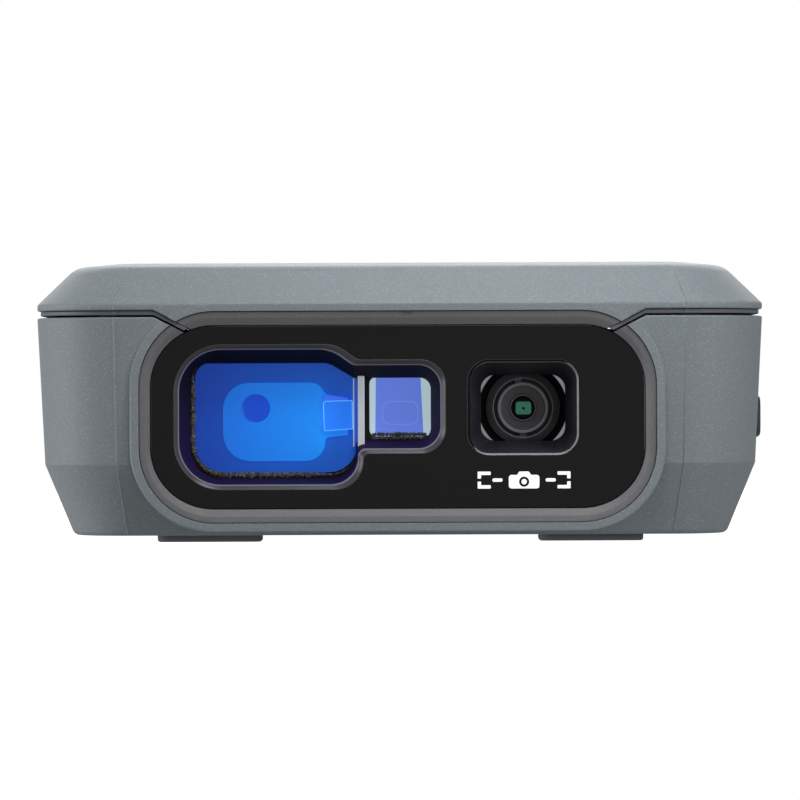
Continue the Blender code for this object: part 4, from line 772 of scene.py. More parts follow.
# ---------------------------------------------------------------- housing
@dataclass
class PlanOutline:
    """The housing's outline from above as a function of an inset, with a quarter ellipse at each corner.

    Straight stretches have stations of their own, so that the parting line and the moulded crease have points
    where they turn.
    """

    front_corner: tuple[float, float] = (6.95, 9.0)
    rear_corner: tuple[float, float] = (8.0, 8.0)
    shrink: float = 0.64
    collar_proud: float = 0.04
    corner_steps: int = 28
    crease_proud: float = 0.09
    crease_at: float = 0.1
    inner_reach: float = 22.2

    def __post_init__(self) -> None:
        """Lays out the stations: which side and end each belongs to, and how it follows the inset."""
        knee, foot = BODY.window_x - 1.1, BODY.window_x - 4.4
        near = np.array([0.0, 0.05, 0.1, 0.15, 0.2, 0.45, 1.0, 1.8])
        inner = np.linspace(-self.inner_reach, self.inner_reach, 75)
        inner = np.unique(np.concatenate([inner, [-knee, -foot, foot, knee]]))
        quarter = np.linspace(0, math.pi / 2, self.corner_steps + 1)[1:-1]
        along_side = np.linspace(0, 1, 21)
        rows: list[tuple[Array, ...]] = []

        def corner(side: int, end: int, angles: Array) -> None:
            """Adds the stations of one corner, by their angles."""
            blank = np.zeros_like(angles)
            rows.append((blank, blank + side, blank + end, np.cos(angles), np.sin(angles), blank))

        def straight(side: int, shares: Array) -> None:
            """Adds the stations of one long side, by their shares of its length."""
            blank = np.zeros_like(shares)
            rows.append((blank + 1, blank + side, blank, shares, blank, blank))

        def across(end: int, offsets: Array, follow: Array) -> None:
            """Adds the stations of one end, by their offsets from the middle."""
            blank = np.zeros_like(offsets)
            rows.append((blank + 2, blank, blank + end, offsets, blank, follow))

        corner(1, -1, -math.pi / 2 + quarter)
        straight(1, along_side)
        corner(1, 1, quarter)
        x = np.concatenate([-near, inner[::-1], near[::-1]])
        follow = np.concatenate([near * 0 + 1, inner * 0, near * 0 - 1])
        across(1, x, follow)
        corner(-1, 1, math.pi / 2 + quarter)
        straight(-1, along_side[::-1])
        corner(-1, -1, math.pi + quarter)
        across(-1, -x, -follow)
        self.kind, self.side, self.end, self.c, self.s, self.follow = map(np.concatenate, zip(*rows))

    def points(self, inset: Array) -> tuple[Array, Array]:
        """The outline's x and y for each inset.

        A corner point lies on an ellipse whose radii shrink with the inset; a side point lies between the
        corners; a front or rear point follows the corner's edge, or keeps its x for as long as there is room
        between the corners, and then draws in with them.

        Args:
            inset: (k, 1) insets, one per ring, or (k, n), one per point.
        Returns:
            x and y as (k, n) arrays.
        """
        front = self.end < 0
        shape = np.where(front, self.front_corner[0], self.rear_corner[0])
        depth = np.where(front, self.front_corner[1], self.rear_corner[1])
        across = np.maximum(shape - self.shrink * inset, 0.4)
        back = np.maximum(depth - self.shrink * inset, 0.4)
        reach = BODY.half_width - inset
        low = BODY.front + self.collar_proud + inset
        high = BODY.rear - inset
        corner_x = self.side * (reach - across) + across * self.c
        corner_y = np.where(front, low + back, high - back) + back * self.s
        side_low = low + np.maximum(self.front_corner[1] - self.shrink * inset, 0.4)
        side_high = high - np.maximum(self.rear_corner[1] - self.shrink * inset, 0.4)
        side_y = side_low + (side_high - side_low) * self.c
        room = (reach - across - 1.85) / self.inner_reach
        squeeze = np.where(self.follow == 0, np.minimum(1.0, room), 1.0)
        across_x = self.c * squeeze + self.follow * (reach - across)
        gap = np.abs(np.abs(across_x) - (reach - across))
        ridge = self.crease_proud * np.exp(-(((gap - self.crease_at) / 0.05) ** 2)) * (front & (self.follow != 0))
        across_y = np.where(front, low - ridge, high)
        x = np.where(self.kind == 0, corner_x, np.where(self.kind == 1, self.side * reach, across_x))
        y = np.where(self.kind == 0, corner_y, np.where(self.kind == 1, side_y, across_y))
        return x, y

    def seam(self, x: Array) -> Array:
        """The parting line's height: level at the sides, then straight down between knee and foot."""
        knee, foot = BODY.window_x - 1.1, BODY.window_x - 4.4
        return np.interp(np.abs(x), [foot, knee], [BODY.dip, BODY.parting])

    def rings(self, path: Array, follow: Array) -> Array:
        """Rings of points along a wall's profile.

        Args:
            path: (k, 2) of inset and height.
            follow: (k,) how far each ring follows the parting line's dip, from 0 to 1.
        Returns:
            (k, n, 3) points.
        """
        x, y = self.points(path[:, :1])
        z = path[:, 1:] + follow[:, None] * (self.seam(x) - BODY.parting)
        return np.stack([x, y, np.broadcast_to(z, x.shape)], axis=-1)


@dataclass
class Housing:
    """The two overmoulded shells and the strip between them."""

    wall: float = 1.8
    gap: float = 0.6
    lip: float = 0.85
    seam_edge: float = 0.16
    collar_depth: float = 5.0
    window_shift: float = -0.2
    plan: PlanOutline = field(default_factory=PlanOutline)

    def window(self, grow: float) -> Array:
        """The front window's outline, where grow 0 is the trim's outer edge."""
        left, right = self.window_shift - BODY.window_x, self.window_shift + BODY.window_x
        return slab((left, BODY.window_low), (right, BODY.window_high), 6.6, 16)(grow)

    def band(self, low: float, high: float) -> Surface:
        """The space between two heights over the parting line, right through the body."""
        far = BODY.half_width + 5
        knee, foot = BODY.window_x - 1.1, BODY.window_x - 4.4
        x = np.array([-far, -knee, -foot, foot, knee, far])
        line = np.stack([x, self.plan.seam(x)], axis=1)
        outline = np.concatenate([line + [0, low], (line + [0, high])[::-1]])
        return loft([stand("Y", outline, station) for station in (BODY.front - 5, BODY.rear + 5)])

    def collar(self, grow: float, keep: Surface) -> Surface:
        """The raised ring round the window, with a rounded front edge, ready to be joined to a shell."""
        front = BODY.front
        levels = [(grow - 0.28, front), (grow - 0.12, front + 0.025), (grow - 0.03, front + 0.12)]
        levels += [(grow, front + 0.3), (grow, front + self.collar_depth)]
        piece = cut(make_piece("collar_tool", extrude(self.window, "Y", levels)), keep)
        work = piece.data
        points = np.zeros(len(work.vertices) * 3)
        work.vertices.foreach_get("co", points)
        corners = np.zeros(len(work.loops), int)
        work.loops.foreach_get("vertex_index", corners)
        sizes = np.zeros(len(work.polygons), int)
        work.polygons.foreach_get("loop_total", sizes)
        bpy.data.objects.remove(piece)
        return Surface(points.reshape(-1, 3) / MM, corners, sizes)

    def window_way(self, grow: float = 0.04) -> Surface:
        """The cutter for the window, a little wider at its mouth."""
        front = BODY.front
        levels = [(grow + 0.12, front - 0.2), (grow, front + 0.08), (grow, front + 9)]
        return extrude(self.window, "Y", levels)

    def lower(self) -> bpy.types.Object:
        """The lower shell: a tray with a chamfered keel, cut for the door, keys, flap, lever and strap."""
        top = BODY.parting - self.gap / 2
        base = BODY.base
        skin = rounded(
            [
                (6.0, base, 0), (3.22, base, 0.7), (0.65, base + 6.3, 0.35), (0.0, top, self.seam_edge),
                (self.wall, top, 0.1), (0.65 + self.wall, base + 6.3, 0.5), (4.6, base + 1.6, 0.8),
                (7.4, base + 1.6, 0),
            ],
            5, closed=False,
        )
        follow = (skin[:, 1] > top - 1.0).astype(float)
        shell = make_piece("lower_shell", loft(self.plan.rings(skin, follow)))
        keep_low = self.band(-self.gap / 2, 9.0)
        blocks, ways = self.fittings()
        fuse(shell, self.collar(0.85, keep_low), *blocks)
        cut(shell, self.window_way(), *ways)
        return dress(shell, SOFT_TOUCH, "soft_grey_overmould", "lower_housing")

    def fittings(self) -> tuple[list[Surface], list[Surface]]:
        """The lower shell's inner blocks and the cutters for everything that is let into it."""
        base = BODY.base
        blocks: list[Surface] = []
        ways: list[Surface] = []
        for index in range(1, 5):
            x, y, _ = middle_mm(f"housing_screw_{index}")
            blocks.append(turned((x, y), "Z", [(3.1, base + 0.4), (3.1, 6.9)]))
            ways.append(turned((x, y), "Z", [(2.4, -1), (2.4, base - 0.02), (2.1, base + 0.25), (2.1, 4.9)]))
            ways.append(turned((x, y), "Z", [(1.2, -1), (1.2, 8.0)], 24))
        x, y, _ = middle_mm("tripod_insert")
        blocks.append(turned((x, y), "Z", [(6.6, base + 0.8), (6.6, base + 9)]))
        ways.append(turned((x, y), "Z", [(5.15, -1), (5.15, base - 0.02), (4.8, base + 0.3), (4.8, 16)]))
        low, high = box_mm("stop_lever")
        pin = middle_mm("stop_lever_pin")
        room, reach, thumb = 0.3, 27.5, 2.6
        inner = slab((low[0] - room - 1.7, low[2] - 1.9), (high[0] + 7.6, high[2] + 1.9), 0.6, 3)
        blocks.append(extrude(inner, "Y", [(0, low[1] - room - 1.8), (0, BODY.rear - 1.55)]))
        slot = slab((low[0] - room, low[2] - room), (pin[0] + reach + thumb + room, high[2] + room), 0.35, 3)
        ways.append(
            extrude(slot, "Y", [(0, low[1] - room), (0, BODY.rear - 0.75), (0.3, BODY.rear + 0.3), (0.3, 80)])
        )
        ways.append(turned(pin[:2], "Z", [(1.09, low[2] - 1.6), (1.09, high[2] + 1.7)], 32))
        notch = (pin[0] + reach + thumb, pin[2])
        ways.append(
            turned(notch, "Y", [(4.0, pin[1]), (4.0, BODY.rear - 0.9), (4.5, BODY.rear + 0.2), (4.5, 80)])
        )
        ways += self.door_ways() + self.side_ways(blocks)
        for index in range(1, 5):
            low, high = box_mm(f"foot_{index}")
            outline = slab(tuple(low[:2] - 0.2), tuple(high[:2] + 0.2), 1.2, 6)
            ways.append(extrude(outline, "Z", [(0, -1), (0, base + 0.5)]))
        low, high = box_mm("rating_plate")
        ways.append(
            extrude(
                slab(tuple(low[:2] - 0.2), tuple(high[:2] + 0.2), 1.2, 6), "Z", [(0.15, -1), (0, base + 0.35)],
            )
        )
        return blocks, ways

    def door_ways(self) -> list[Surface]:
        """The cutters for the battery door, its hinge pins and its latch."""
        low, high = box_mm("battery_door")
        side = BODY.base + 0.8
        reach = high[0] - 1.2
        rear = high[1] + 0.3
        outline = slab((-reach - 0.3, low[1] - 0.3), (reach + 0.3, rear), 1.2, 6)
        room = [(0.12, -1), (0.12, BODY.base - 0.02), (0.0, BODY.base + 0.12), (0.0, BODY.base + 2.6)]
        latch_low, latch_high = box_mm("door_latch")
        recess = slab((latch_low[0] - 0.3, low[1] - 1.5), (latch_high[0] + 0.3, low[1] + 1), 0.3, 3)
        return [
            extrude(outline, "Z", room),
            turned((high[1] - 0.8, side), "X", [(0.54, -high[0] - 0.3), (0.54, high[0] + 0.3)], 24),
            extrude(recess, "Z", [(0, -1), (0, BODY.base + 1.1)]),
        ]

    def side_ways(self, blocks: list[Surface]) -> list[Surface]:
        """The cutters for the side key, the port flap and the strap; their blocks are added to the list."""
        wide = BODY.half_width
        key_low, key_high = box_mm("side_key")
        grow = -0.7 + 0.25
        key = slab((key_low[1] - grow, key_low[2] - grow), (key_high[1] + grow, key_high[2] + grow), 1.45, 8)
        ways = [extrude(key, "X", [(0, wide - 5), (0, wide - 0.6), (0.3, wide - 0.1), (0.3, wide + 5)])]
        low, high = box_mm("port_flap")
        body = slab((low[1] - 2.1, low[2] - 1.8), (high[1] + 1.8, high[2] + 1.8), 0.5, 3)
        blocks.append(extrude(body, "X", [(0, -wide + 1.55), (0, high[0] + 2.0)]))
        recess = slab((low[1] - 0.3, low[2] - 0.3), (high[1] + 0.3, high[2] + 0.3), 0.3, 3)
        ways.append(
            extrude(recess, "X", [(0.25, -wide - 5), (0.25, -wide), (0, -wide + 0.5), (0, high[0] + 0.2)])
        )
        pin = middle_mm("port_flap_pin")
        ways.append(turned(pin[:2], "Z", [(0.59, low[2] - 1.2), (0.59, high[2] + 1.2)], 24))
        port_low, port_high = box_mm("port_socket")
        hole = slab(tuple(port_low[1:] - 0.3), tuple(port_high[1:] + 0.3), 1.7, 8)
        ways.append(extrude(hole, "X", [(0, -wide - 5), (0, high[0] + 2.3)]))
        strap = middle_mm("strap_pin")
        half_y, half_z = 2.75, 2.5
        block = slab(
            (strap[1] - half_y - 1.4, strap[2] - half_z - 1.4),
            (strap[1] + half_y + 1.4, strap[2] + half_z + 1.4), 0.6, 3,
        )
        blocks.append(extrude(block, "X", [(0, wide - 8.4), (0, wide - 1.55)]))
        pocket = slab((strap[1] - half_y, strap[2] - half_z), (strap[1] + half_y, strap[2] + half_z), 0.9, 6)
        ways.append(
            extrude(
                pocket, "X",
                [(-0.3, wide - 7), (0, wide - 6.7), (0, wide - 0.9), (0.4, wide - 0.1), (0.4, wide + 5)],
            )
        )
        ways.append(turned((strap[0], strap[2]), "Y", [(0.84, strap[1] - 3.75), (0.84, strap[1] + 3.75)], 24))
        return ways

    def upper(self) -> bpy.types.Object:
        """The upper shell: a lid with chamfered edges, cut for the display, the keys and the sound slots."""
        low = BODY.parting + self.gap / 2
        lip = BODY.parting + self.lip
        top = BODY.top
        skin = rounded(
            [
                (self.wall + 6.2, top - 1.6, 0), (self.wall + 3.15, top - 1.6, 0.8), (self.wall, lip, 0.3),
                (self.wall, low, 0.1), (0.0, low, self.seam_edge), (0.0, lip, 0.42), (3.42, top - 0.36, 2.4),
                (7.2, top, 12.0), (10.5, top, 0),
            ],
            6, closed=False,
        )
        follow = (skin[:, 1] < low + 0.3).astype(float)
        shell = make_piece("upper_shell", loft(self.plan.rings(skin, follow)))
        posts = []
        for index in range(1, 5):
            x, y, _ = middle_mm(f"housing_screw_{index}")
            posts.append(turned((x, y), "Z", [(2.4, 7.2), (2.4, top - 0.8)], 32))
        keep_high = self.band(-30.0, self.gap / 2)
        fuse(shell, self.collar(0.80, keep_high), *posts)
        ways = [self.window_way()]
        for index in range(1, 5):
            x, y, _ = middle_mm(f"housing_screw_{index}")
            ways.append(turned((x, y), "Z", [(1.1, 6.2), (1.1, 13.6)], 24))
        glass_low, glass_high = box_mm("display_glass")
        glass = slab(tuple(glass_low[:2]), tuple(glass_high[:2]), 3.0, 10)
        ways.append(
            extrude(
                glass, "Z", [(0.25, glass_low[2] - 0.2), (0.25, top - 0.12), (0.4, top + 0.02), (0.4, top + 5)],
            )
        )
        ways.append(extrude(glass, "Z", [(-2.3, top - 3), (-2.3, top + 5)]))
        for outline in key_outlines().values():
            ways.append(
                extrude(outline, "Z", [(0.25, top - 3), (0.25, top - 0.3), (0.5, top + 0.02), (0.5, top + 5)])
            )
        for y in sound_rows():
            slot = centred((0, y), (10.0, 1.2), 0.6, 10)
            ways.append(extrude(slot, "Z", [(0, top - 3), (0, top - 0.25), (0.2, top + 0.02), (0.2, top + 5)]))
        cut(shell, *ways)
        return dress(shell, SOFT_TOUCH, "soft_grey_overmould", "upper_housing")

    def strip(self) -> bpy.types.Object:
        """The strip in the parting line: a thin closed band that follows the dip, open at the window."""
        outer, inner, low, high = 0.3, 1.55, -0.12, 0.24
        section = rounded([(outer, low, 0.06), (inner, low, 0.02), (inner, high, 0.02), (outer, high, 0.06)], 3)
        path = section + [0, BODY.parting]
        strip = make_piece("seam_strip", loft(self.plan.rings(path, np.ones(len(path))), closed=True))
        way = extrude(self.window, "Y", [(-0.97, BODY.front - 3), (-0.97, BODY.front + 9)])
        cut(strip, way)
        return dress(strip, SEAM_RUBBER, "black_rubber", "housing_seal")

    def build(self) -> None:
        """Builds the shells and the strip."""
        self.lower()
        self.upper()
        self.strip()


# ---------------------------------------------------------------- keypad places
KEYS = (
    "left_soft_key", "right_soft_key", "minus_key", "plus_key", "function_key", "power_key", "camera_key",
    "measure_key",
)
KEY_FLANGE = 0.7


def key_outlines() -> dict[str, Outline]:
    """Each top key's outline, from its CAD solid's box less the hidden flange."""
    found: dict[str, Outline] = {}
    for name in KEYS:
        low, high = box_mm(name)
        low, high = low[:2] + KEY_FLANGE, high[:2] - KEY_FLANGE
        radius = {"camera_key": 4.1, "measure_key": (high[0] - low[0]) / 2}.get(name, 2.6)
        if name == "measure_key":
            found[name] = disc((low + high) / 2, radius, 96)
        else:
            found[name] = slab(tuple(low), tuple(high), radius, 12)
    return found


def sound_rows() -> list[float]:
    """The places of the three sound slots along the body, halfway from the last keys to the roof's end."""
    _, high = box_mm("power_key")
    middle = (high[1] - KEY_FLANGE + BODY.rear - 7.2) / 2
    return [middle + 2.4 * row for row in (-1, 0, 1)]


# ---------------------------------------------------------------- front window
@dataclass
class FrontWindow:
    """The trim in two halves, the black pane, the milled rim, the pocket liners and the printed mark."""

    housing: Housing
    trim_depths: tuple[float, float] = (0.2, 2.6)
    pane_depths: tuple[float, float] = (0.75, 2.05)
    hood_depths: tuple[float, float] = (2.35, 5.6)
    rim: float = 0.45
    squeeze: float = 0.971
    middle: float = (BODY.window_low + BODY.window_high) / 2
    floor_left: float = -18.62
    floor_right: float = 2.73
    floor_low: float = 5.66
    camera_pocket: tuple[float, float, float] = (9.5, 8.1, 1.75)
    camera_taper: tuple[float, float] = (0.96, 1.06)

    def keyhole(self, grow: float) -> Array:
        """The outline that joins the receiver's large lobe to the emitter's small one."""
        inset = -grow
        left, right = -20.0 + inset, 4.03 - inset
        neck = -3.25 - inset
        axis, half = (BODY.window_low + BODY.window_high) / 2, 6.425
        low, high = axis - half + inset, axis + half - inset
        small_low, small_high = axis + 0.88 - 4.145 + inset, axis + 0.88 + 4.145 - inset
        slope = high - small_high
        corners = [
            (left, low, 4.2 - inset), (neck, low, 3.1 - inset / 2), (neck, small_low, 0.7 + inset / 4),
            (right, small_low, 2.2 - inset / 2), (right, small_high, 2.2 - inset / 2),
            (neck - 0.45, small_high, 0.9 + inset / 4), (neck - 0.45 - 1.4 * slope, high, 3.5),
            (left, high, 4.2 - inset),
        ]
        return rounded(corners, 14)

    def keyhole_floor(self) -> Array:
        """The keyhole's smaller outline at the depth of the lens, with as many points as its mouth."""
        small_low, small_high = 8.98, 14.53
        low, high, neck = self.floor_low, 15.87, -3.95
        corners = [
            (self.floor_left, low, 2.6), (neck, low, 2.1), (neck, small_low, 0.5),
            (self.floor_right, small_low, 1.1), (self.floor_right, small_high, 1.0),
            (neck - 0.15, small_high, 0.6), (neck - 2.4, high, 1.9), (self.floor_left, high, 1.5),
        ]
        return rounded(corners, 14)

    def glass(self, grow: float) -> Array:
        """The glass's outline: the trim's slope is a little wider above and below it than beside it."""
        return self.housing.window(grow) * [1.0, self.squeeze] + [0.0, (1 - self.squeeze) * self.middle]

    def camera_opening(self, grow: float) -> Array:
        """The camera pocket's outline; its corners tighten as it narrows."""
        x, _, z = middle_mm("camera_lens")
        width, height, radius = self.camera_pocket
        size = (width + 2 * grow, height + 2 * grow)
        return centred((x, z), size, radius + 0.85 * min(grow, 0.0) + max(grow, 0.0), 12)(0.0)

    def bezel(self, name: str, node: str, other: Surface) -> bpy.types.Object:
        """One half of the trim: a ring whose inner side slopes in, less the space beyond the parting line."""
        front, back = (BODY.front + depth for depth in self.trim_depths)
        section = rounded(
            [
                (0.0, back, 0.05), (0.0, front, 0.07), (-0.55, front + 0.12, 0.1), (-0.94, front + 0.5, 0.05),
                (-0.94, back, 0.05),
            ],
            3,
        )
        rings = []
        for grow, station in section:
            share = min(max((-0.55 - grow) / 0.39, 0.0), 1.0)
            outline = (1 - share) * self.housing.window(grow) + share * self.glass(grow)
            rings.append(stand("Y", outline, station))
        piece = cut(make_piece(name, loft(rings, closed=True)), other)
        return dress(piece, TRIM_NYLON, "dark_grey_plastic", node)

    def pane(self) -> bpy.types.Object:
        """The window pane with a polished edge, cut for the keyhole rim and the camera pocket."""
        front, back = (BODY.front + depth for depth in self.pane_depths)
        levels = [(-1.1, front), (-1.03, front + 0.03), (-0.99, front + 0.12), (-0.99, back)]
        pane = make_piece("window_pane", extrude(self.glass, "Y", levels))
        keyhole = extrude(self.keyhole, "Y", [(0.03, front - 1), (0.03, back + 1)])
        camera = extrude(
            self.camera_opening, "Y", [(0.2, front - 0.2), (0.17, front), (0.02, front + 0.17), (0.02, back + 1)],
        )
        cut(pane, keyhole, camera)
        return dress(pane, BLACK_PANE, "black_glass", "window_glass")

    def keyhole_rim(self) -> None:
        """The satin rim round the keyhole, and its inner edge and the camera pocket's bevel, both painted bright
        as highlights.
        """
        front, back = (BODY.front + depth for depth in self.pane_depths)
        section = rounded(
            [
                (0.02, back, 0.03), (0.02, front - 0.015, 0.03), (-0.04, front - 0.015, 0.03),
                (-0.42, front + 0.36, 0.07), (-self.rim, back - 0.2, 0.2), (-self.rim, back, 0.03),
            ],
            3,
        )
        self.trim_ring("keyhole_rim", self.keyhole, section, SATIN_RIM)
        # The rim's inner edge: a thin line painted bright as a highlight.
        line = [(-0.36, front + 0.4), (-0.36, front + 0.27), (-0.45, front + 0.37), (-0.47, front + 0.46)]
        self.trim_ring("keyhole_rim_edge", self.keyhole, line, EDGE_HIGHLIGHT)
        bevel = [(0.2, front + 0.25), (0.18, front - 0.01), (0.01, front + 0.155), (0.01, front + 0.25)]
        self.trim_ring("camera_rim", lambda grow: self.camera_opening(grow) + [-0.07, 0.05], bevel, EDGE_HIGHLIGHT)

    def trim_ring(self, name: str, outline: Outline, section: Levels, finish: Finish) -> None:
        """A closed ring of the window's rim: a section of (grow, station) carried round an outline."""
        rings = [stand("Y", outline(grow), station) for grow, station in section]
        add_piece(name, loft(rings, closed=True), finish, "black_glass")

    def hood(self) -> None:
        """The hood behind the pane, and the tapered liners of its two pockets."""
        front, back = (BODY.front + depth for depth in self.hood_depths)
        pane_front, pane_back = (BODY.front + depth for depth in self.pane_depths)
        block = make_piece(
            "optics_shroud", extrude(lambda g: self.housing.window(g - 1.05), "Y", [(0, front), (0, back)]),
        )
        cut(
            block, extrude(self.keyhole, "Y", [(0.3, front - 1), (0.3, back + 1)]),
            extrude(self.camera_opening, "Y", [(0.08, front - 1), (0.08, back + 1)]),
        )
        dress(block, POCKET_BLACK, "black_plastic", "optics_hood")
        liner = [
            (self.keyhole(0.25), pane_back + 0.05), (self.keyhole(-self.rim - 0.01), pane_back + 0.05),
            (self.keyhole_floor(), back + 0.05), (self.keyhole(0.25), back + 0.05),
        ]
        rings = [stand("Y", outline, station) for outline, station in liner]
        # The liner's walls carry the painted reflection of the lens.
        add_piece("keyhole_liner", loft(rings, closed=True), HOOD_PAINTED_LENS_REFLECTION, "black_plastic")
        x, _, z = middle_mm("camera_lens")
        mouth = self.camera_opening(-0.05)
        floor = (mouth - [x, z]) * [1 - self.camera_taper[0] / 4.7, 1 - self.camera_taper[1] / 4.0] + [x, z]
        walls = [
            (self.camera_opening(0.0), back + 0.05), (self.camera_opening(0.0), pane_front + 0.19),
            (mouth, pane_front + 0.17), (floor, back + 0.05),
        ]
        rings = [stand("Y", outline, station) for outline, station in walls]
        add_piece("camera_liner", loft(rings, closed=True), POCKET_BLACK, "black_plastic")

    def mark(self) -> bpy.types.Object:
        """The printed mark below the camera: a plain camera sign between two pairs of viewfinder brackets."""
        x, _, _ = middle_mm("camera_lens")
        z = BODY.base + 4.85
        front = BODY.front + self.pane_depths[0]
        low, high = front - 0.02, front + 0.05
        body = fixed(
            [
                (x - 1.35, z - 0.75, 0.25), (x + 1.35, z - 0.75, 0.25), (x + 1.35, z + 0.45, 0.25),
                (x + 0.62, z + 0.45, 0.08), (x + 0.42, z + 0.75, 0.1), (x - 0.42, z + 0.75, 0.1),
                (x - 0.62, z + 0.45, 0.08), (x - 1.35, z + 0.45, 0.25),
            ],
            5,
        )
        sign = make_piece("camera_mark", extrude(body, "Y", [(0, low), (0, high)]))
        cut(sign, turned((x, z - 0.15), "Y", [(0.45, low - 1), (0.45, high + 1)], 40))
        marks = [turned((x, z - 0.15), "Y", [(0.24, low), (0.24, high)], 32)]
        for side in (-1, 1):
            for lift in (-1, 1):
                corner, tip = x + side * 4.1, z + lift * 0.75
                arm, stroke = 1.15, 0.3
                points = [
                    (corner, tip), (corner - side * arm, tip), (corner - side * arm, tip - lift * stroke),
                    (corner - side * stroke, tip - lift * stroke), (corner - side * stroke, tip - lift * 0.62),
                    (corner, tip - lift * 0.62),
                ]
                marks.append(extrude(fixed([(u, v, 0.05) for u, v in points], 2), "Y", [(0, low), (0, high)]))
            dash = centred((x + side * 2.35, z), (0.9, 0.3), 0.14, 5)
            marks.append(extrude(dash, "Y", [(0, low), (0, high)]))
        fuse(sign, *marks)
        return dress(sign, INK_WHITE, "label_silver")

    def gate(self) -> bpy.types.Object:
        """The small vestige of the moulding gate at the top of the trim."""
        outline = slab((0.3, BODY.window_high - 0.12), (1.15, BODY.window_high + 0.06), 0.06, 3)
        levels = edged(BODY.front + 0.03, BODY.front + 0.4, 0.03, 0.0)
        return add_piece("trim_gate_mark", extrude(outline, "Y", levels), DARK_PLASTIC, "dark_grey_plastic")

    def build(self) -> None:
        """Builds the whole window."""
        gap = self.housing.gap / 2
        self.bezel("bezel_lower", "window_trim_lower", self.housing.band(-gap, 9.0))
        self.bezel("bezel_upper", "window_trim_upper", self.housing.band(-30.0, gap))
        self.pane()
        self.keyhole_rim()
        self.hood()
        self.mark()
        self.gate()


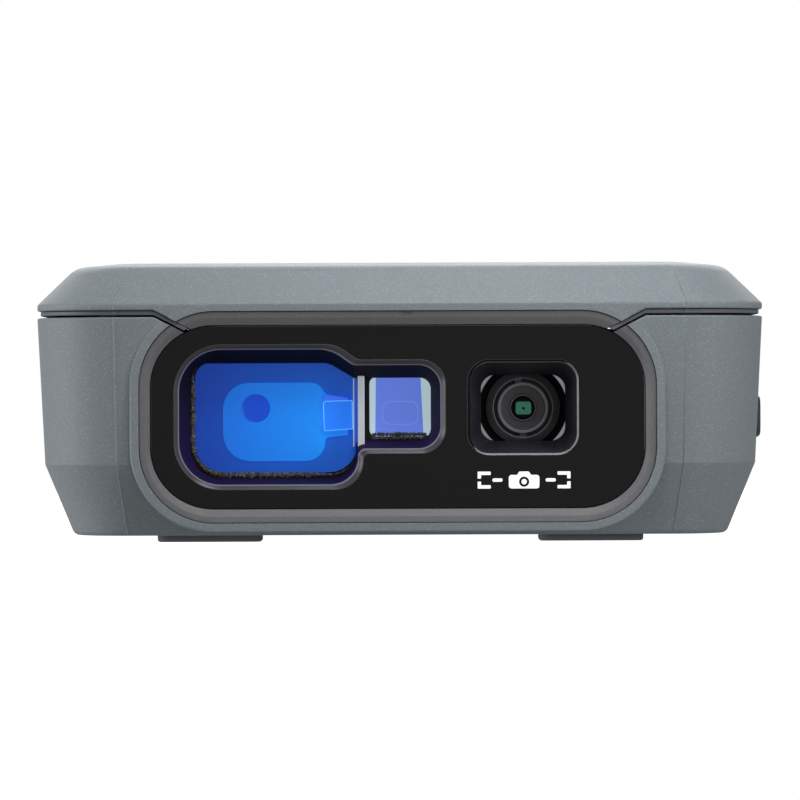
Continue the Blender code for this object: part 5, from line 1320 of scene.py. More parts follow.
# ---------------------------------------------------------------- measuring optics
@dataclass
class MeasuringOptics:
    """The receiver lens with its optical zone and prism, the light wall and the emitter window."""

    seed: int = 7

    def __post_init__(self) -> None:
        """Reads the lens's and the emitter's boxes."""
        self.lens_low, self.lens_high = box_mm("receiver_lens")
        self.emitter_low, self.emitter_high = box_mm("emitter_window")
        self.seat = self.lens_low[1] + 0.45

    def lens_outline(self, grow: float) -> Array:
        """The lens's outline: its upper left corner is tighter than the others."""
        low, high = self.lens_low + 0.02, self.lens_high
        left, right = low[0] + 0.36 - grow, high[0] + grow
        floor, roof = low[2] - 0.07 - grow, high[2] + grow
        return rounded(
            [
                (left, floor, 2.6 + grow), (right, floor, 2.6 + grow), (right, roof, 2.0 + grow),
                (left, roof, 1.5 + grow),
            ],
            16,
        )

    def dome(self, outline: Array, rim: float, rise: float, start: float) -> Surface:
        """A crowned plate: its rings shrink evenly towards the middle and rise as one minus the share squared.

        Args:
            outline: the plate's (x, z) outline.
            rim: the station of the outline's front edge.
            rise: how far the middle stands in front of it.
            start: the station of the plate's back.
        Returns:
            The closed surface.
        """
        centre = outline.mean(axis=0)
        shares = np.array([1.0, 1.0, 0.985, 0.95, 0.88, 0.78, 0.65, 0.5, 0.35, 0.2, 0.08])
        stations = rim - rise * (1 - shares**2)
        stations[0], stations[2] = start, stations[2] - 0.03
        return loft([stand("Y", centre + (outline - centre) * s, y) for s, y in zip(shares, stations)])

    def receiver(self) -> None:
        """The coated lens, all with a painted glow: its flange, the brighter optical zone with a nose towards the
        emitter, the prism.
        """
        seat, back = self.seat, self.lens_high[1]
        levels = [(0, back), (0, seat + 0.06), (-0.05, seat), (-0.6, seat - 0.04)]
        add_piece(
            "receiver_flange", extrude(self.lens_outline, "Y", levels), LENS_FLANGE, "blue_coated_glass",
            "receiver_lens",
        )
        left, low = self.lens_low[0] + 2.93, self.lens_low[2] + 0.98
        right, high = self.lens_high[0] - 0.9, self.lens_high[2] - 1.85
        zone = rounded(
            [
                (left, low, 2.4), (right - 2.05, low, 2.1), (right - 2.0, low + 2.08, 0.55),
                (right, low + 2.3, 0.1), (right, high - 1.35, 0.1), (right - 2.0, high - 1.05, 0.5),
                (right - 2.55, high, 1.3), (left, high, 2.3),
            ],
            10,
        )
        add_piece(
            "receiver_optical_zone", self.dome(zone, seat - 0.12, 0.26, seat + 0.5), LENS_ZONE,
            "blue_coated_glass",
        )
        spot = (left + 2.93, high - 2.28)
        add_piece(
            "receiver_aperture", self.dome(disc(spot, 1.24, 64)(0.0), seat - 0.34, 0.03, seat + 0.3), LENS_SPOT,
            "blue_coated_glass",
        )
        face = fixed(
            [
                (right - 2.1, low + 2.68, 0.1), (right + 0.48, low + 2.85, 0.1), (right + 0.42, low + 5.42, 0.12),
                (right - 2.2, low + 5.35, 0.3),
            ],
            4,
        )
        stand_off = seat - 0.42
        prism = extrude(face, "Y", [(0, seat + 0.2), (0, stand_off - 0.06), (-0.05, stand_off - 0.1)])
        add_piece("near_range_prism", prism, PRISM_BLUE, "blue_coated_glass")
        edge = [(0.015, stand_off), (0.015, stand_off - 0.09), (-0.06, stand_off - 0.13), (-0.08, stand_off)]
        rings = [stand("Y", face(grow), station) for grow, station in edge]
        add_piece("near_prism_edge", loft(rings, closed=True), PRISM_EDGE_HIGHLIGHT, "blue_coated_glass")
        bridge = fixed(
            [
                (u, v, 0.1)
                for u, v in (
                    (right - 2.15, high - 1.62), (right - 0.05, high - 1.72), (right - 0.05, high - 1.4),
                    (right - 2.1, high - 1.1),
                )
            ],
            3,
        )
        band = extrude(bridge, "Y", [(0, seat), (0, seat - 0.36), (-0.03, seat - 0.38)])
        add_piece("near_prism_shoulder", band, LENS_SHOULDER, "blue_coated_glass")

    def bead(self, path: Array, weight: Array, depth: float) -> Surface:
        """A rough closed bead along a path: a tube whose radius is the weight times a seeded random swell.

        Args:
            path: (n, 2) of x and z.
            weight: (n,) the mean radius at each point.
            depth: the station of the tube's middle.
        Returns:
            The closed tube.
        """
        rng = np.random.default_rng(self.seed)
        swell = 1 + 0.42 * np.convolve(rng.standard_normal(len(path) + 2), [0.25, 0.5, 0.25], mode="valid")
        jitter = 1 + 0.22 * rng.standard_normal((len(path), 10))
        turn = np.linspace(0, 2 * math.pi, 10, endpoint=False)
        along = np.roll(path, -1, axis=0) - np.roll(path, 1, axis=0)
        normal = np.stack([along[:, 1], -along[:, 0]], axis=1)
        normal /= np.linalg.norm(normal, axis=1)[:, None]
        radius = (weight * np.clip(swell, 0.4, 2.0))[:, None] * np.clip(jitter, 0.5, 1.6)
        flat = path[:, None, :] + normal[:, None, :] * (radius * np.cos(turn))[..., None]
        y = depth - 0.8 * radius * np.sin(turn)
        return loft(np.stack([flat[..., 0], y, flat[..., 1]], axis=-1), closed=True)

    def adhesive(self) -> None:
        """The epoxy beads: round the lens, thick at its left and lower sides, and under the emitter window."""
        dense = self.even(self.lens_outline(0.16), 620)
        low, high = self.lens_low, self.lens_high
        leftness = np.clip((low[0] + 1.6 - dense[:, 0]) / 0.8, 0, 1) * np.clip(
            (high[2] - 0.9 - dense[:, 1]) / 1.2, 0, 1,
        )
        lowness = np.clip(
            (low[2] + 0.7 - dense[:, 1]) / 0.5, 0, 1,
        ) * np.clip((high[0] - 2.0 - dense[:, 0]) / 2, 0, 1)
        weight = 0.04 + 0.19 * np.clip(leftness + lowness, 0, 1)
        dress(
            make_piece("lens_epoxy_bead", self.bead(dense, weight, self.seat + 0.02)), EPOXY, "black_plastic",
            crease=50.0,
        )
        low, high = self.emitter_low, self.emitter_high
        strip = slab((low[0] + 0.1, 9.16), (high[0] - 0.55, 9.5), 0.16, 4)(0.0)
        dense = self.even(strip, 260)
        dress(
            make_piece("emitter_epoxy_bead", self.bead(dense, np.full(len(dense), 0.16), low[1] - 0.05)), EPOXY,
            "black_plastic", crease=50.0,
        )

    @staticmethod
    def even(outline: Array, count: int) -> Array:
        """The outline's points spaced evenly along it."""
        closed = np.concatenate([outline, outline[:1]])
        run = np.concatenate([[0], np.cumsum(np.linalg.norm(np.diff(closed, axis=0), axis=1))])
        at = np.linspace(0, run[-1], count, endpoint=False)
        return np.stack([np.interp(at, run, closed[:, 0]), np.interp(at, run, closed[:, 1])], axis=1)

    def light_wall(self) -> None:
        """The cast wall between lens and emitter, and the thin stop plate beside it."""
        low, high = box_mm("light_barrier")
        wall = slab((low[0] + 0.12, low[2] - 1.3), (high[0] + 0.1, high[2] + 0.5), 0.08, 3)
        add_piece(
            "light_wall", extrude(wall, "Y", edged(low[1], high[1], 0.1, 0.0)), CAST_ZINC, "die_cast_alloy",
            "light_barrier",
        )
        stop = slab((low[0] - 0.3, low[2] - 1.3), (low[0] - 0.2, high[2] + 0.3), 0.03, 3)
        add_piece(
            "lens_stop_plate", extrude(stop, "Y", edged(low[1] + 0.9, high[1], 0.04, 0.0)), CAST_ZINC,
            "die_cast_alloy",
        )

    def emitter(self) -> None:
        """The emitter window: a pale glass body, its violet coating with a slanting edge, and a faint outline."""
        low, high = self.emitter_low, self.emitter_high
        body = slab((low[0] - 0.2, low[2]), (high[0], high[2]), 0.6, 8)
        add_piece(
            "emitter_pane", extrude(body, "Y", edged(low[1], high[1], 0.08, 0.0)), EMITTER_PALE,
            "violet_coated_glass", "emitter_window",
        )
        coating = fixed(
            [
                (low[0] + 0.32, low[2] + 0.05, 0.05), (high[0] - 0.7, low[2] + 0.05, 0.05),
                (high[0] - 0.95, high[2] - 0.05, 0.05), (low[0] + 0.38, high[2] - 0.05, 0.05),
            ],
            3,
        )
        add_piece(
            "emitter_coating", extrude(coating, "Y", [(0, low[1] - 0.02), (0, low[1] + 0.1)]), EMITTER_VIOLET,
            "violet_coated_glass",
        )
        ring = slab((low[0] + 0.95, low[2] + 1.05), (high[0] - 1.15, low[2] + 3.15), 0.75, 10)
        section = [(0.0, low[1]), (0.0, low[1] - 0.035), (-0.05, low[1] - 0.035), (-0.05, low[1])]
        rings = [stand("Y", ring(grow), station) for grow, station in section]
        add_piece("emitter_zone_edge", loft(rings, closed=True), EMITTER_EDGE, "violet_coated_glass")

    def build(self) -> None:
        """Builds the measuring optics."""
        self.receiver()
        self.adhesive()
        self.light_wall()
        self.emitter()


# ---------------------------------------------------------------- camera
@dataclass
class CameraModule:
    """The camera in its pocket: holder with its flange, focusing barrel with tabs, front lens and stop."""

    holder_radius: float = 3.3
    flange_radius: float = 3.95
    thread_radius: float = 2.69
    barrel_radius: float = 2.24
    face_radius: float = 2.0
    hole_radius: float = 1.1

    def build(self) -> None:
        """Builds the camera's pieces about the CAD lens's axis."""
        x, _, z = middle_mm("camera_lens")
        nose = box_mm("camera_barrel")[0][1]
        holder_low, holder_high = box_mm("camera_holder")
        can_low, can_high = box_mm("camera_can")
        centre = (x, z)
        can = make_piece(
            "camera_shield",
            extrude(centred(centre, (9.8, 9.8), 0.8, 6), "Y", edged(can_low[1], can_high[1], 0.15, 0.1)),
        )
        cut(can, turned(centre, "Y", [(3.5, can_low[1] - 1), (3.5, can_high[1] + 1)], 64))
        dress(can, CAST_ZINC, "steel", "camera_can")
        front = holder_low[1]
        holder = turned_edges(
            [
                (self.holder_radius, front + 0.34, 0.05), (self.holder_radius, front + 0.6, 0.02),
                (self.holder_radius, holder_high[1], 0.05), (self.thread_radius, holder_high[1], 0.05),
                (self.thread_radius, front + 0.1, 0.02), (self.thread_radius + 0.06, front, 0.02),
                (self.thread_radius + 0.14, front + 0.05, 0.02),
            ]
        )
        flange = turned_edges(
            [
                (self.holder_radius + 0.02, front + 0.6, 0.02), (self.flange_radius, front + 0.6, 0.05),
                (self.flange_radius, can_low[1] - 0.1, 0.05), (self.holder_radius + 0.02, can_low[1] - 0.1, 0.02),
            ]
        )
        add_piece(
            "camera_mount_flange", turned(centre, "Y", flange, 96, closed=True), MATT_BLACK, "black_plastic",
        )
        add_piece(
            "camera_mount", turned(centre, "Y", holder, 96, closed=True), HOLDER_BLACK, "black_plastic",
            "camera_holder",
        )
        # Thin pale rings: painted highlights on the holder's edge, the barrel's rim and the bore's edge.
        highlight_rings = [
            turned_edges([(r0, y + 0.2, 0.01), (r0, y, 0.02), (r1, y, 0.02), (r1, y + 0.2, 0.01)], 2)
            for r0, r1, y in (
                (self.thread_radius - 0.09, self.thread_radius - 0.01, front - 0.02),
                (self.face_radius - 0.02, self.barrel_radius + 0.01, nose - 0.03),
                (self.hole_radius - 0.03, self.hole_radius + 0.04, nose + 0.2),
            )
        ]
        add_piece(
            "camera_highlight_rings", [turned(centre, "Y", highlight_ring, 96, closed=True) for highlight_ring in highlight_rings], PAINTED_HIGHLIGHT_RINGS,
            "black_plastic",
        )
        back = box_mm("camera_barrel")[1][1]
        sleeve = turned_edges(
            [
                (self.barrel_radius, nose + 0.05, 0.08), (self.barrel_radius, nose + 1.1, 0.02),
                (self.thread_radius - 0.03, nose + 1.1, 0.02), (self.thread_radius - 0.03, back, 0.05),
                (self.hole_radius + 0.25, back, 0.05), (self.hole_radius + 0.25, nose + 1.0, 0.05),
                (self.hole_radius, nose + 0.75, 0.04), (self.hole_radius, nose + 0.3, 0.05),
                (self.hole_radius + 0.09, nose + 0.24, 0.02), (self.hole_radius + 0.14, nose + 0.3, 0.02),
                (self.face_radius - 0.1, nose + 0.24, 0.03), (self.face_radius + 0.12, nose, 0.04),
                (self.barrel_radius - 0.05, nose, 0.04),
            ]
        )
        barrel = make_piece("camera_sleeve", turned(centre, "Y", sleeve, 96, closed=True))
        tabs = []
        for angle, wide in ((-90.0, 0.68), (100.0, 0.62)):
            turn = math.radians(angle)
            at = (x + 2.46 * math.cos(turn), z + 2.46 * math.sin(turn))
            tabs.append(
                extrude(centred(at, (wide, 0.5), 0.06, 3), "Y", edged(nose + 0.25, nose + 0.7, 0.05, 0.0))
            )
        fuse(barrel, *tabs)
        dress(barrel, HOLDER_BLACK, "black_plastic", "camera_barrel")
        _, lens_back = box_mm("camera_lens")
        curve = np.linspace(0, math.pi / 2, 9)
        profile = [(0.02 + 1.3 * math.sin(t), nose + 1.2 - 0.12 * math.cos(t)) for t in curve]
        profile.append((1.32, lens_back[1]))
        add_piece(
            "camera_front_glass", turned(centre, "Y", profile, 64), CAMERA_GLASS, "green_coated_glass",
            "camera_lens",
        )
        stop = centred((x + 0.06, z - 0.03), (1.38, 1.14), 0.24, 6)
        add_piece(
            "camera_stop_image", extrude(stop, "Y", edged(nose + 0.9, nose + 1.15, 0.03, 0.0)), CAMERA_STOP,
            "green_coated_glass",
        )
        pupil = turned((x + 0.06, z - 0.05), "Y", [(0.12, nose + 0.88), (0.14, nose + 0.95)], 24)
        add_piece("camera_pupil", pupil, CAMERA_GLASS, "green_coated_glass")


# ---------------------------------------------------------------- display
@dataclass
class Display:
    """The display's cover glass, its lit area and the figures on it."""

    border: float = 2.9

    def __post_init__(self) -> None:
        """Reads the cover's box."""
        self.low, self.high = box_mm("display_glass")
        self.high[2] = BODY.top - 0.04

    def segments(self, x: float, y: float, height: float, digit: int) -> list[Surface]:
        """A seven-segment digit: a bar for each lit segment, with pointed ends.

        Args:
            x: the digit's left side.
            y: its lower side.
            height: its height.
            digit: the number to show.
        Returns:
            The bars.
        """
        lit = ("abcdef", "bc", "abged", "abgcd", "fgbc", "afgcd", "afgedc", "abc", "abcdefg", "abcdfg")[digit]
        wide, half = height * 0.5, height / 2
        places = {
            "a": (wide / 2, height, 0), "b": (wide, half * 1.5, 1), "c": (wide, half / 2, 1),
            "d": (wide / 2, 0, 0), "e": (0, half / 2, 1), "f": (0, half * 1.5, 1), "g": (wide / 2, half, 0),
        }
        bars = []
        for key in lit:
            u, v, upright = places[key]
            length, thick = (half if upright else wide) * 0.84, height * 0.11
            size = (thick, length) if upright else (length, thick)
            bars.append(self.print_on(centred((x + u, y + v), size, thick * 0.35, 2)))
        return bars

    def print_on(self, outline: Outline, lift: float = 0.03) -> Surface:
        """A thin flat shape on the lit area."""
        top = self.high[2] + 0.01
        return extrude(outline, "Z", [(0, top - 0.01), (0, top + lift)])

    def build(self) -> None:
        """Builds the cover, the lit area and the figures: three short rows, a bold one and two key signs."""
        low, high = self.low, self.high
        outline = slab(tuple(low[:2]), tuple(high[:2]), 3.0, 12)
        cover = extrude(outline, "Z", edged(low[2], high[2], 0.05, 0.3, 4))
        add_piece("display_cover", cover, DISPLAY_GLASS, "black_glass", "display_glass")
        screen = slab(tuple(low[:2] + self.border), tuple(high[:2] - self.border), 0.8, 6)
        lit = extrude(screen, "Z", [(0, high[2] - 0.05), (0, high[2] + 0.01)])
        add_piece("display_lit_area", lit, DISPLAY_LIT, "display_panel")
        left, right = low[0] + self.border + 2, high[0] - self.border - 2
        bottom, top = low[1] + self.border + 2, high[1] - self.border - 2
        marks: list[Surface] = []
        rows = ((1, 2, 3, 4), (0, 8, 7, 5), (2, 4, 6, 9))
        for index, digits in enumerate(rows):
            y = top - 10 - 9.0 * index
            for place, digit in enumerate(digits):
                marks += self.segments(right - 19 + 4.6 * place + (1.2 if place > 0 else 0), y, 5.4, digit)
            marks.append(self.print_on(disc((right - 14.6, y - 0.1), 0.42, 12)))
            marks.append(self.print_on(centred(((left + right) / 2, y - 2.2), (right - left, 0.16), 0.05, 2)))
            marks.append(self.print_on(centred((left + 3, y + 2.7), (5.0, 0.5), 0.2, 3)))
        for place, digit in enumerate((5, 3, 1, 8)):
            marks += self.segments(right - 24 + 6.2 * place + (1.6 if place > 0 else 0), bottom + 3.4, 8.0, digit)
        marks.append(self.print_on(disc((right - 18.2, bottom + 3.3), 0.6, 12)))
        for side in (-1, 1):
            marks.append(self.print_on(centred((side * 10.0, bottom - 0.6), (7.0, 0.7), 0.3, 4)))
        battery = (right - 2.2, top - 0.2)
        frame_ring = [(0.0, 0.0), (0.0, 0.03), (-0.3, 0.03), (-0.3, 0.0)]
        case = centred(battery, (4.4, 2.2), 0.4, 4)
        marks.append(loft([stand("Z", case(g), self.high[2] + 0.005 + z) for g, z in frame_ring], closed=True))
        marks.append(self.print_on(centred((battery[0] - 0.7, battery[1]), (2.0, 1.1), 0.1, 2)))
        add_piece("display_figures", marks, DISPLAY_TEXT, "display_panel")


# ---------------------------------------------------------------- keypad
@dataclass
class Keypad:
    """The silicone keys with their printed signs, and the mesh behind the sound slots."""

    edge: float = 0.45
    lower: float = 0.06

    def cap(self, name: str, outline: Outline) -> bpy.types.Object:
        """One key: flange, upright sides, rounded rim, a shallow dish on top, and the stem below."""
        low, high = box_mm(name)
        top = high[2] - self.lower
        flange = BODY.top - 1.6 - 0.3
        levels = [(KEY_FLANGE, flange - 0.7), (KEY_FLANGE, flange), (0.0, flange)]
        levels += [level for level in edged(flange + 0.1, top, 0.0, self.edge, 5)[1:]]
        levels += [(-self.edge - 0.6, top + 0.0), (-self.edge - 1.4, top - 0.05)]
        piece = make_piece(name + "_cap", extrude(outline, "Z", levels))
        x, y = (low[:2] + high[:2]) / 2
        fuse(piece, turned((x, y), "Z", [(1.6, low[2]), (1.6, flange - 0.4)], 32))
        finish = SILICONE_ORANGE if name == "measure_key" else SILICONE_DARK
        slot = "measure_key_orange" if name == "measure_key" else "silicone_keypad"
        return dress(piece, finish, slot, name, body=name)

    def sign(self, name: str) -> bpy.types.Object:
        """The key's printed sign: bars, a ring or a plain camera, a little above the key's dish."""
        low, high = box_mm(name)
        x, y = (low[:2] + high[:2]) / 2
        top = high[2] - self.lower - 0.06
        layer = [(0.0, top), (0.0, high[2] - 0.02)]

        def bar(u: float, v: float, wide: float, long: float) -> Surface:
            """A small upright bar of the sign."""
            return extrude(centred((x + u, y + v), (wide, long), min(wide, long) * 0.3, 3), "Z", layer)

        def ring(radius: float, stroke: float, u: float = 0.0, v: float = 0.0) -> Surface:
            """A round line of the sign."""
            circle = disc((x + u, y + v), 0.0, 48)
            section = [
                (radius, top), (radius, high[2] - 0.02), (radius - stroke, high[2] - 0.02),
                (radius - stroke, top),
            ]
            return loft([stand("Z", circle(r), z) for r, z in section], closed=True)

        shapes = {
            "left_soft_key": [bar(0, 0, 3.4, 0.55)], "right_soft_key": [bar(0, 0, 3.4, 0.55)],
            "minus_key": [bar(0, 0, 3.0, 0.6)],
            "plus_key": [bar(0, 0, 3.0, 0.6), bar(0, 1.0, 0.6, 1.2), bar(0, -1.0, 0.6, 1.2)],
            "function_key": [bar(u, v, 1.2, 1.2) for u in (-0.9, 0.9) for v in (-0.9, 0.9)],
            "power_key": [ring(1.5, 0.4), bar(0, 1.55, 0.5, 1.5)],
            "camera_key": [bar(0, -0.2, 3.6, 2.4), bar(0, 1.25, 1.4, 0.5)],
            "measure_key": [ring(3.4, 0.45), ring(1.1, 1.05), bar(0, 5.2, 0.6, 1.8)],
        }[name]
        piece = make_piece(name + "_sign", shapes)
        if name == "camera_key":
            cut(piece, turned((x, y - 0.2), "Z", [(0.8, top - 1), (0.8, high[2] + 1)], 32))
        return dress(piece, INK_WHITE, "label_silver", body=name)

    def build(self) -> None:
        """Builds the keys, their signs and the sound mesh."""
        for name, outline in key_outlines().items():
            self.cap(name, outline)
            self.sign(name)
        rows = sound_rows()
        under = BODY.top - 1.6
        mesh = slab((-6.5, rows[0] - 2.2), (6.5, rows[-1] + 2.2), 1.0, 5)
        add_piece(
            "sound_mesh", extrude(mesh, "Z", [(0, under - 0.4), (0, under - 0.05)]), MESH_BLACK, "black_plastic",
        )


# ---------------------------------------------------------------- side key, port flap and strap pin
@dataclass
class SideFittings:
    """The ribbed side key, the port's rubber flap on its pin, and the strap pin."""

    def side_key(self) -> bpy.types.Object:
        """The side key: a flange inside the wall, a rounded face and three grooves across it."""
        low, high = box_mm("side_key")
        outline = slab((low[1] + 0.7, low[2] + 0.7), (high[1] - 0.7, high[2] - 0.7), 1.2, 10)
        tip = high[0]
        inner = low[0] + 0.8
        levels = [(0.7, low[0]), (0.7, inner), (0.0, inner)] + list(edged(inner + 0.1, tip, 0.0, 0.4, 5)[1:])
        piece = make_piece("side_key_cap", extrude(outline, "X", levels))
        middle = (low[1] + high[1]) / 2
        grooves = [
            extrude(
                centred((middle + 2.4 * step, (low[2] + high[2]) / 2), (0.5, 2.2), 0.24, 5), "X",
                [(-0.12, tip - 0.2), (0.1, tip + 0.2)],
            )
            for step in (-1, 0, 1)
        ]
        cut(piece, *grooves)
        return dress(piece, SILICONE_DARK, "silicone_keypad", "side_key", body="side_key")

    def flap(self) -> None:
        """The rubber flap: a slab with a round hinge edge, a bore for its pin, and three finger ribs."""
        low, high = box_mm("port_flap")
        outer = low[0] + 0.675
        thick = high[0] - outer
        corners = [
            (outer, low[1], 0.35), (high[0], low[1], 0.2), (high[0], high[1], thick / 2),
            (outer, high[1], thick / 2),
        ]
        flap = make_piece(
            "port_flap_cover", extrude(fixed(corners, 8), "Z", edged(low[2], high[2], 0.25, 0.25, 3)),
        )
        ribs = []
        for index in range(3):
            start = low[1] + 1.4 + 1.3 * index
            rib = slab((start, low[2] + 1), (start + 0.6, high[2] - 1), 0.28, 4)
            ribs.append(extrude(rib, "X", [(-0.15, low[0]), (0, low[0] + 0.15), (0, outer + 0.4)]))
        fuse(flap, *ribs)
        x, y, _ = middle_mm("port_flap_pin")
        cut(flap, turned((x, y), "Z", [(0.59, low[2] - 1), (0.59, high[2] + 1)], 32))
        dress(flap, BLACK_RUBBER, "black_rubber", "port_flap", body="port_flap")
        self.pin("port_flap_pin", "port_flap_axle", "Z", 0.5)

    def pin(self, node: str, name: str, axis: str, radius: float) -> bpy.types.Object:
        """A drawn steel pin with broken ends, in a CAD pin's place."""
        low, high = box_mm(node)
        middle = (low + high) / 2
        centre = {"Z": middle[:2], "Y": (middle[0], middle[2])}[axis]
        span = {"Z": (low[2], high[2]), "Y": (low[1], high[1])}[axis]
        profile = [
            (radius - 0.12, span[0]), (radius, span[0] + 0.12), (radius, span[1] - 0.12),
            (radius - 0.12, span[1]),
        ]
        return add_piece(name, turned(centre, axis, profile, 40), BRIGHT_STEEL, "steel", node)

    def build(self) -> None:
        """Builds the fittings on both sides."""
        self.side_key()
        self.flap()
        self.pin("strap_pin", "strap_bar", "Y", 0.75)


# ---------------------------------------------------------------- rear end
@dataclass
class RearLever:
    """The stop lever that folds out of the rear end, and the pin that it turns on."""

    edge: float = 0.35

    def build(self) -> None:
        """Builds the lever with its bore, a relief and grip ribs, and its pin."""
        low, high = box_mm("stop_lever")
        x, y, _ = middle_mm("stop_lever_pin")
        half = (high[1] - low[1]) / 2
        corners = [
            (low[0], low[1], half), (high[0], low[1], 1.2), (high[0], high[1], 1.2), (low[0], high[1], half),
        ]
        lever = make_piece(
            "stop_lever_arm", extrude(fixed(corners, 14), "Z", edged(low[2], high[2], self.edge, self.edge, 4)),
        )
        bore = turned(
            (x, y), "Z", [(1.5, low[2] - 1), (1.09, low[2] + 0.35), (1.09, high[2] - 0.35), (1.5, high[2] + 1)],
            40,
        )
        relief = slab((x + 5, low[2] + 1.2), (high[0] - 4, high[2] - 1.2), 0.8, 6)
        grooves = [
            extrude(
                centred((high[0] - 0.9 - 0.75 * step, (low[2] + high[2]) / 2), (0.3, 2.9), 0.14, 3), "Y",
                [(0, high[1] - 0.25), (0.08, high[1] + 0.1)],
            )
            for step in range(3)
        ]
        cut(lever, bore, extrude(relief, "Y", [(-0.1, high[1] - 0.8), (0.1, high[1] + 0.1)]), *grooves)
        dress(lever, DARK_PLASTIC, "dark_grey_plastic", "stop_lever", body="stop_lever")
        SideFittings().pin("stop_lever_pin", "stop_lever_axle", "Z", 1.0)


# ---------------------------------------------------------------- underside
@dataclass
class Underside:
    """The battery door with its latch, the feet, the blank rating plate, the screws and the tripod insert."""

    pitch: float = 1.27
    thread_depth: float = 0.42
    bore_radius: float = 3.175
    head_radius: float = 1.9
    head_height: float = 1.5
    shank_radius: float = 1.0
    foot_corner: float = 1.0
    field: tuple[float, float] = (12.0, 3.2)

    def door(self) -> None:
        """The battery door: a plate with round hinge edge, hinge pins, a notch for the latch and grip grooves."""
        low, high = box_mm("battery_door")
        base, top = BODY.base, BODY.base + 1.6
        axis = (high[1] - 0.8, base + 0.8)
        reach = high[0] - 1.2
        outline = fixed(
            [(-reach, low[1], 2.0), (reach, low[1], 2.0), (reach, axis[0], 0.05), (-reach, axis[0], 0.05)], 8,
        )
        door = make_piece("battery_door_panel", extrude(outline, "Z", edged(base, top, 0.18, 0.1, 3)))
        fuse(
            door, turned(axis, "X", [(0.7, -reach), (0.8, -reach + 0.1), (0.8, reach - 0.1), (0.7, reach)], 40),
            turned(axis, "X", [(0.45, -high[0]), (0.45, high[0])], 24),
        )
        latch_low, latch_high = box_mm("door_latch")
        notch = slab((latch_low[0] - 0.3, low[1] - 1), (latch_high[0] + 0.3, low[1] + 6.5), 0.3, 3)
        ways = [extrude(notch, "Z", [(0, -1), (0, top - 0.5)])]
        for index in range(3):
            start = low[1] + 9 + 1.6 * index
            groove = slab((-6, start), (6, start + 0.8), 0.38, 5)
            ways.append(extrude(groove, "Z", [(0.15, -0.5), (0.05, base), (-0.15, base + 0.35)]))
        cut(door, *ways)
        dress(door, SOFT_TOUCH, "soft_grey_overmould", "battery_door", body="battery_door")
        body = slab(tuple(latch_low[:2]), tuple(latch_high[:2]), 0.4, 4)
        latch = make_piece(
            "door_latch_slide", extrude(body, "Z", edged(latch_low[2], latch_high[2], 0.12, 0.0, 2)),
        )
        grips = [
            extrude(
                centred((0, latch_low[1] + 2.4 + 0.75 * step), (8.0, 0.36), 0.16, 3), "Z",
                [(0.05, latch_low[2] - 0.1), (-0.05, latch_low[2] + 0.22)],
            )
            for step in range(4)
        ]
        cut(latch, *grips)
        dress(latch, DARK_PLASTIC, "dark_grey_plastic", "door_latch", body="door_latch")

    def feet(self) -> None:
        """Four rubber feet with a rounded lower rim and two tread grooves each."""
        for index in range(1, 5):
            low, high = box_mm(f"foot_{index}")
            foot = make_piece(
                f"rubber_foot_{index}",
                extrude(
                    slab(tuple(low[:2]), tuple(high[:2]), self.foot_corner, 8), "Z",
                    edged(low[2], high[2], 0.22, 0.0, 3),
                ),
            )
            x, y = (low[:2] + high[:2]) / 2
            ways = [
                extrude(centred((x, y + lift), (6.6, 0.5), 0.24, 4), "Z", [(0.08, -0.1), (-0.05, 0.22)])
                for lift in (-1.1, 1.1)
            ]
            cut(foot, *ways)
            dress(foot, FOOT_RUBBER, "black_rubber", f"foot_{index}")

    def plate(self) -> None:
        """The rating plate, left blank: a raised border round three empty fields."""
        low, high = box_mm("rating_plate")
        outline = slab(tuple(low[:2]), tuple(high[:2]), 1.0, 8)
        face = low[2]
        plate = make_piece("rating_label", extrude(outline, "Z", edged(face + 0.04, high[2], 0.04, 0.0, 2)))
        section = [(-0.7, face + 0.06), (-0.7, face), (-1.0, face), (-1.0, face + 0.06)]
        parts = [loft([stand("Z", outline(g), z) for g, z in section], closed=True)]
        x, y = (low[:2] + high[:2]) / 2
        for u, v, size in ((-6.5, 0.0, (8.0, 7.5)), (4.6, 2.1, self.field), (4.6, -2.1, self.field)):
            parts.append(extrude(centred((x + u, y + v), size, 0.3, 3), "Z", [(0, face), (0, face + 0.06)]))
        fuse(plate, *parts)
        dress(plate, LABEL_SILVER, "label_silver", "rating_plate")

    def screws(self) -> None:
        """Four pan-head screws with a rounded head, a hexagonal socket and a shank."""
        for index in range(1, 5):
            low, high = box_mm(f"housing_screw_{index}")
            x, y = (low[:2] + high[:2]) / 2
            head, shank, shoulder = self.head_radius, self.shank_radius, low[2] + self.head_height
            profile = turned_edges(
                [
                    (0.02, low[2], 0.0), (1.55, low[2], 0.35), (head, low[2] + 0.55, 0.2), (head, shoulder, 0.03),
                    (shank, shoulder, 0.03), (shank, high[2] - 0.6, 0.05), (0.02, high[2], 0.0),
                ],
                3, closed=False,
            )
            screw = make_piece(f"pan_screw_{index}", turned((x, y), "Z", profile, 48))
            cut(screw, turned((x, y), "Z", [(0.95, low[2] - 0.5), (0.8, low[2] + 0.12), (0.8, low[2] + 0.8)], 6))
            dress(screw, SCREW_STEEL, "steel", f"housing_screw_{index}")

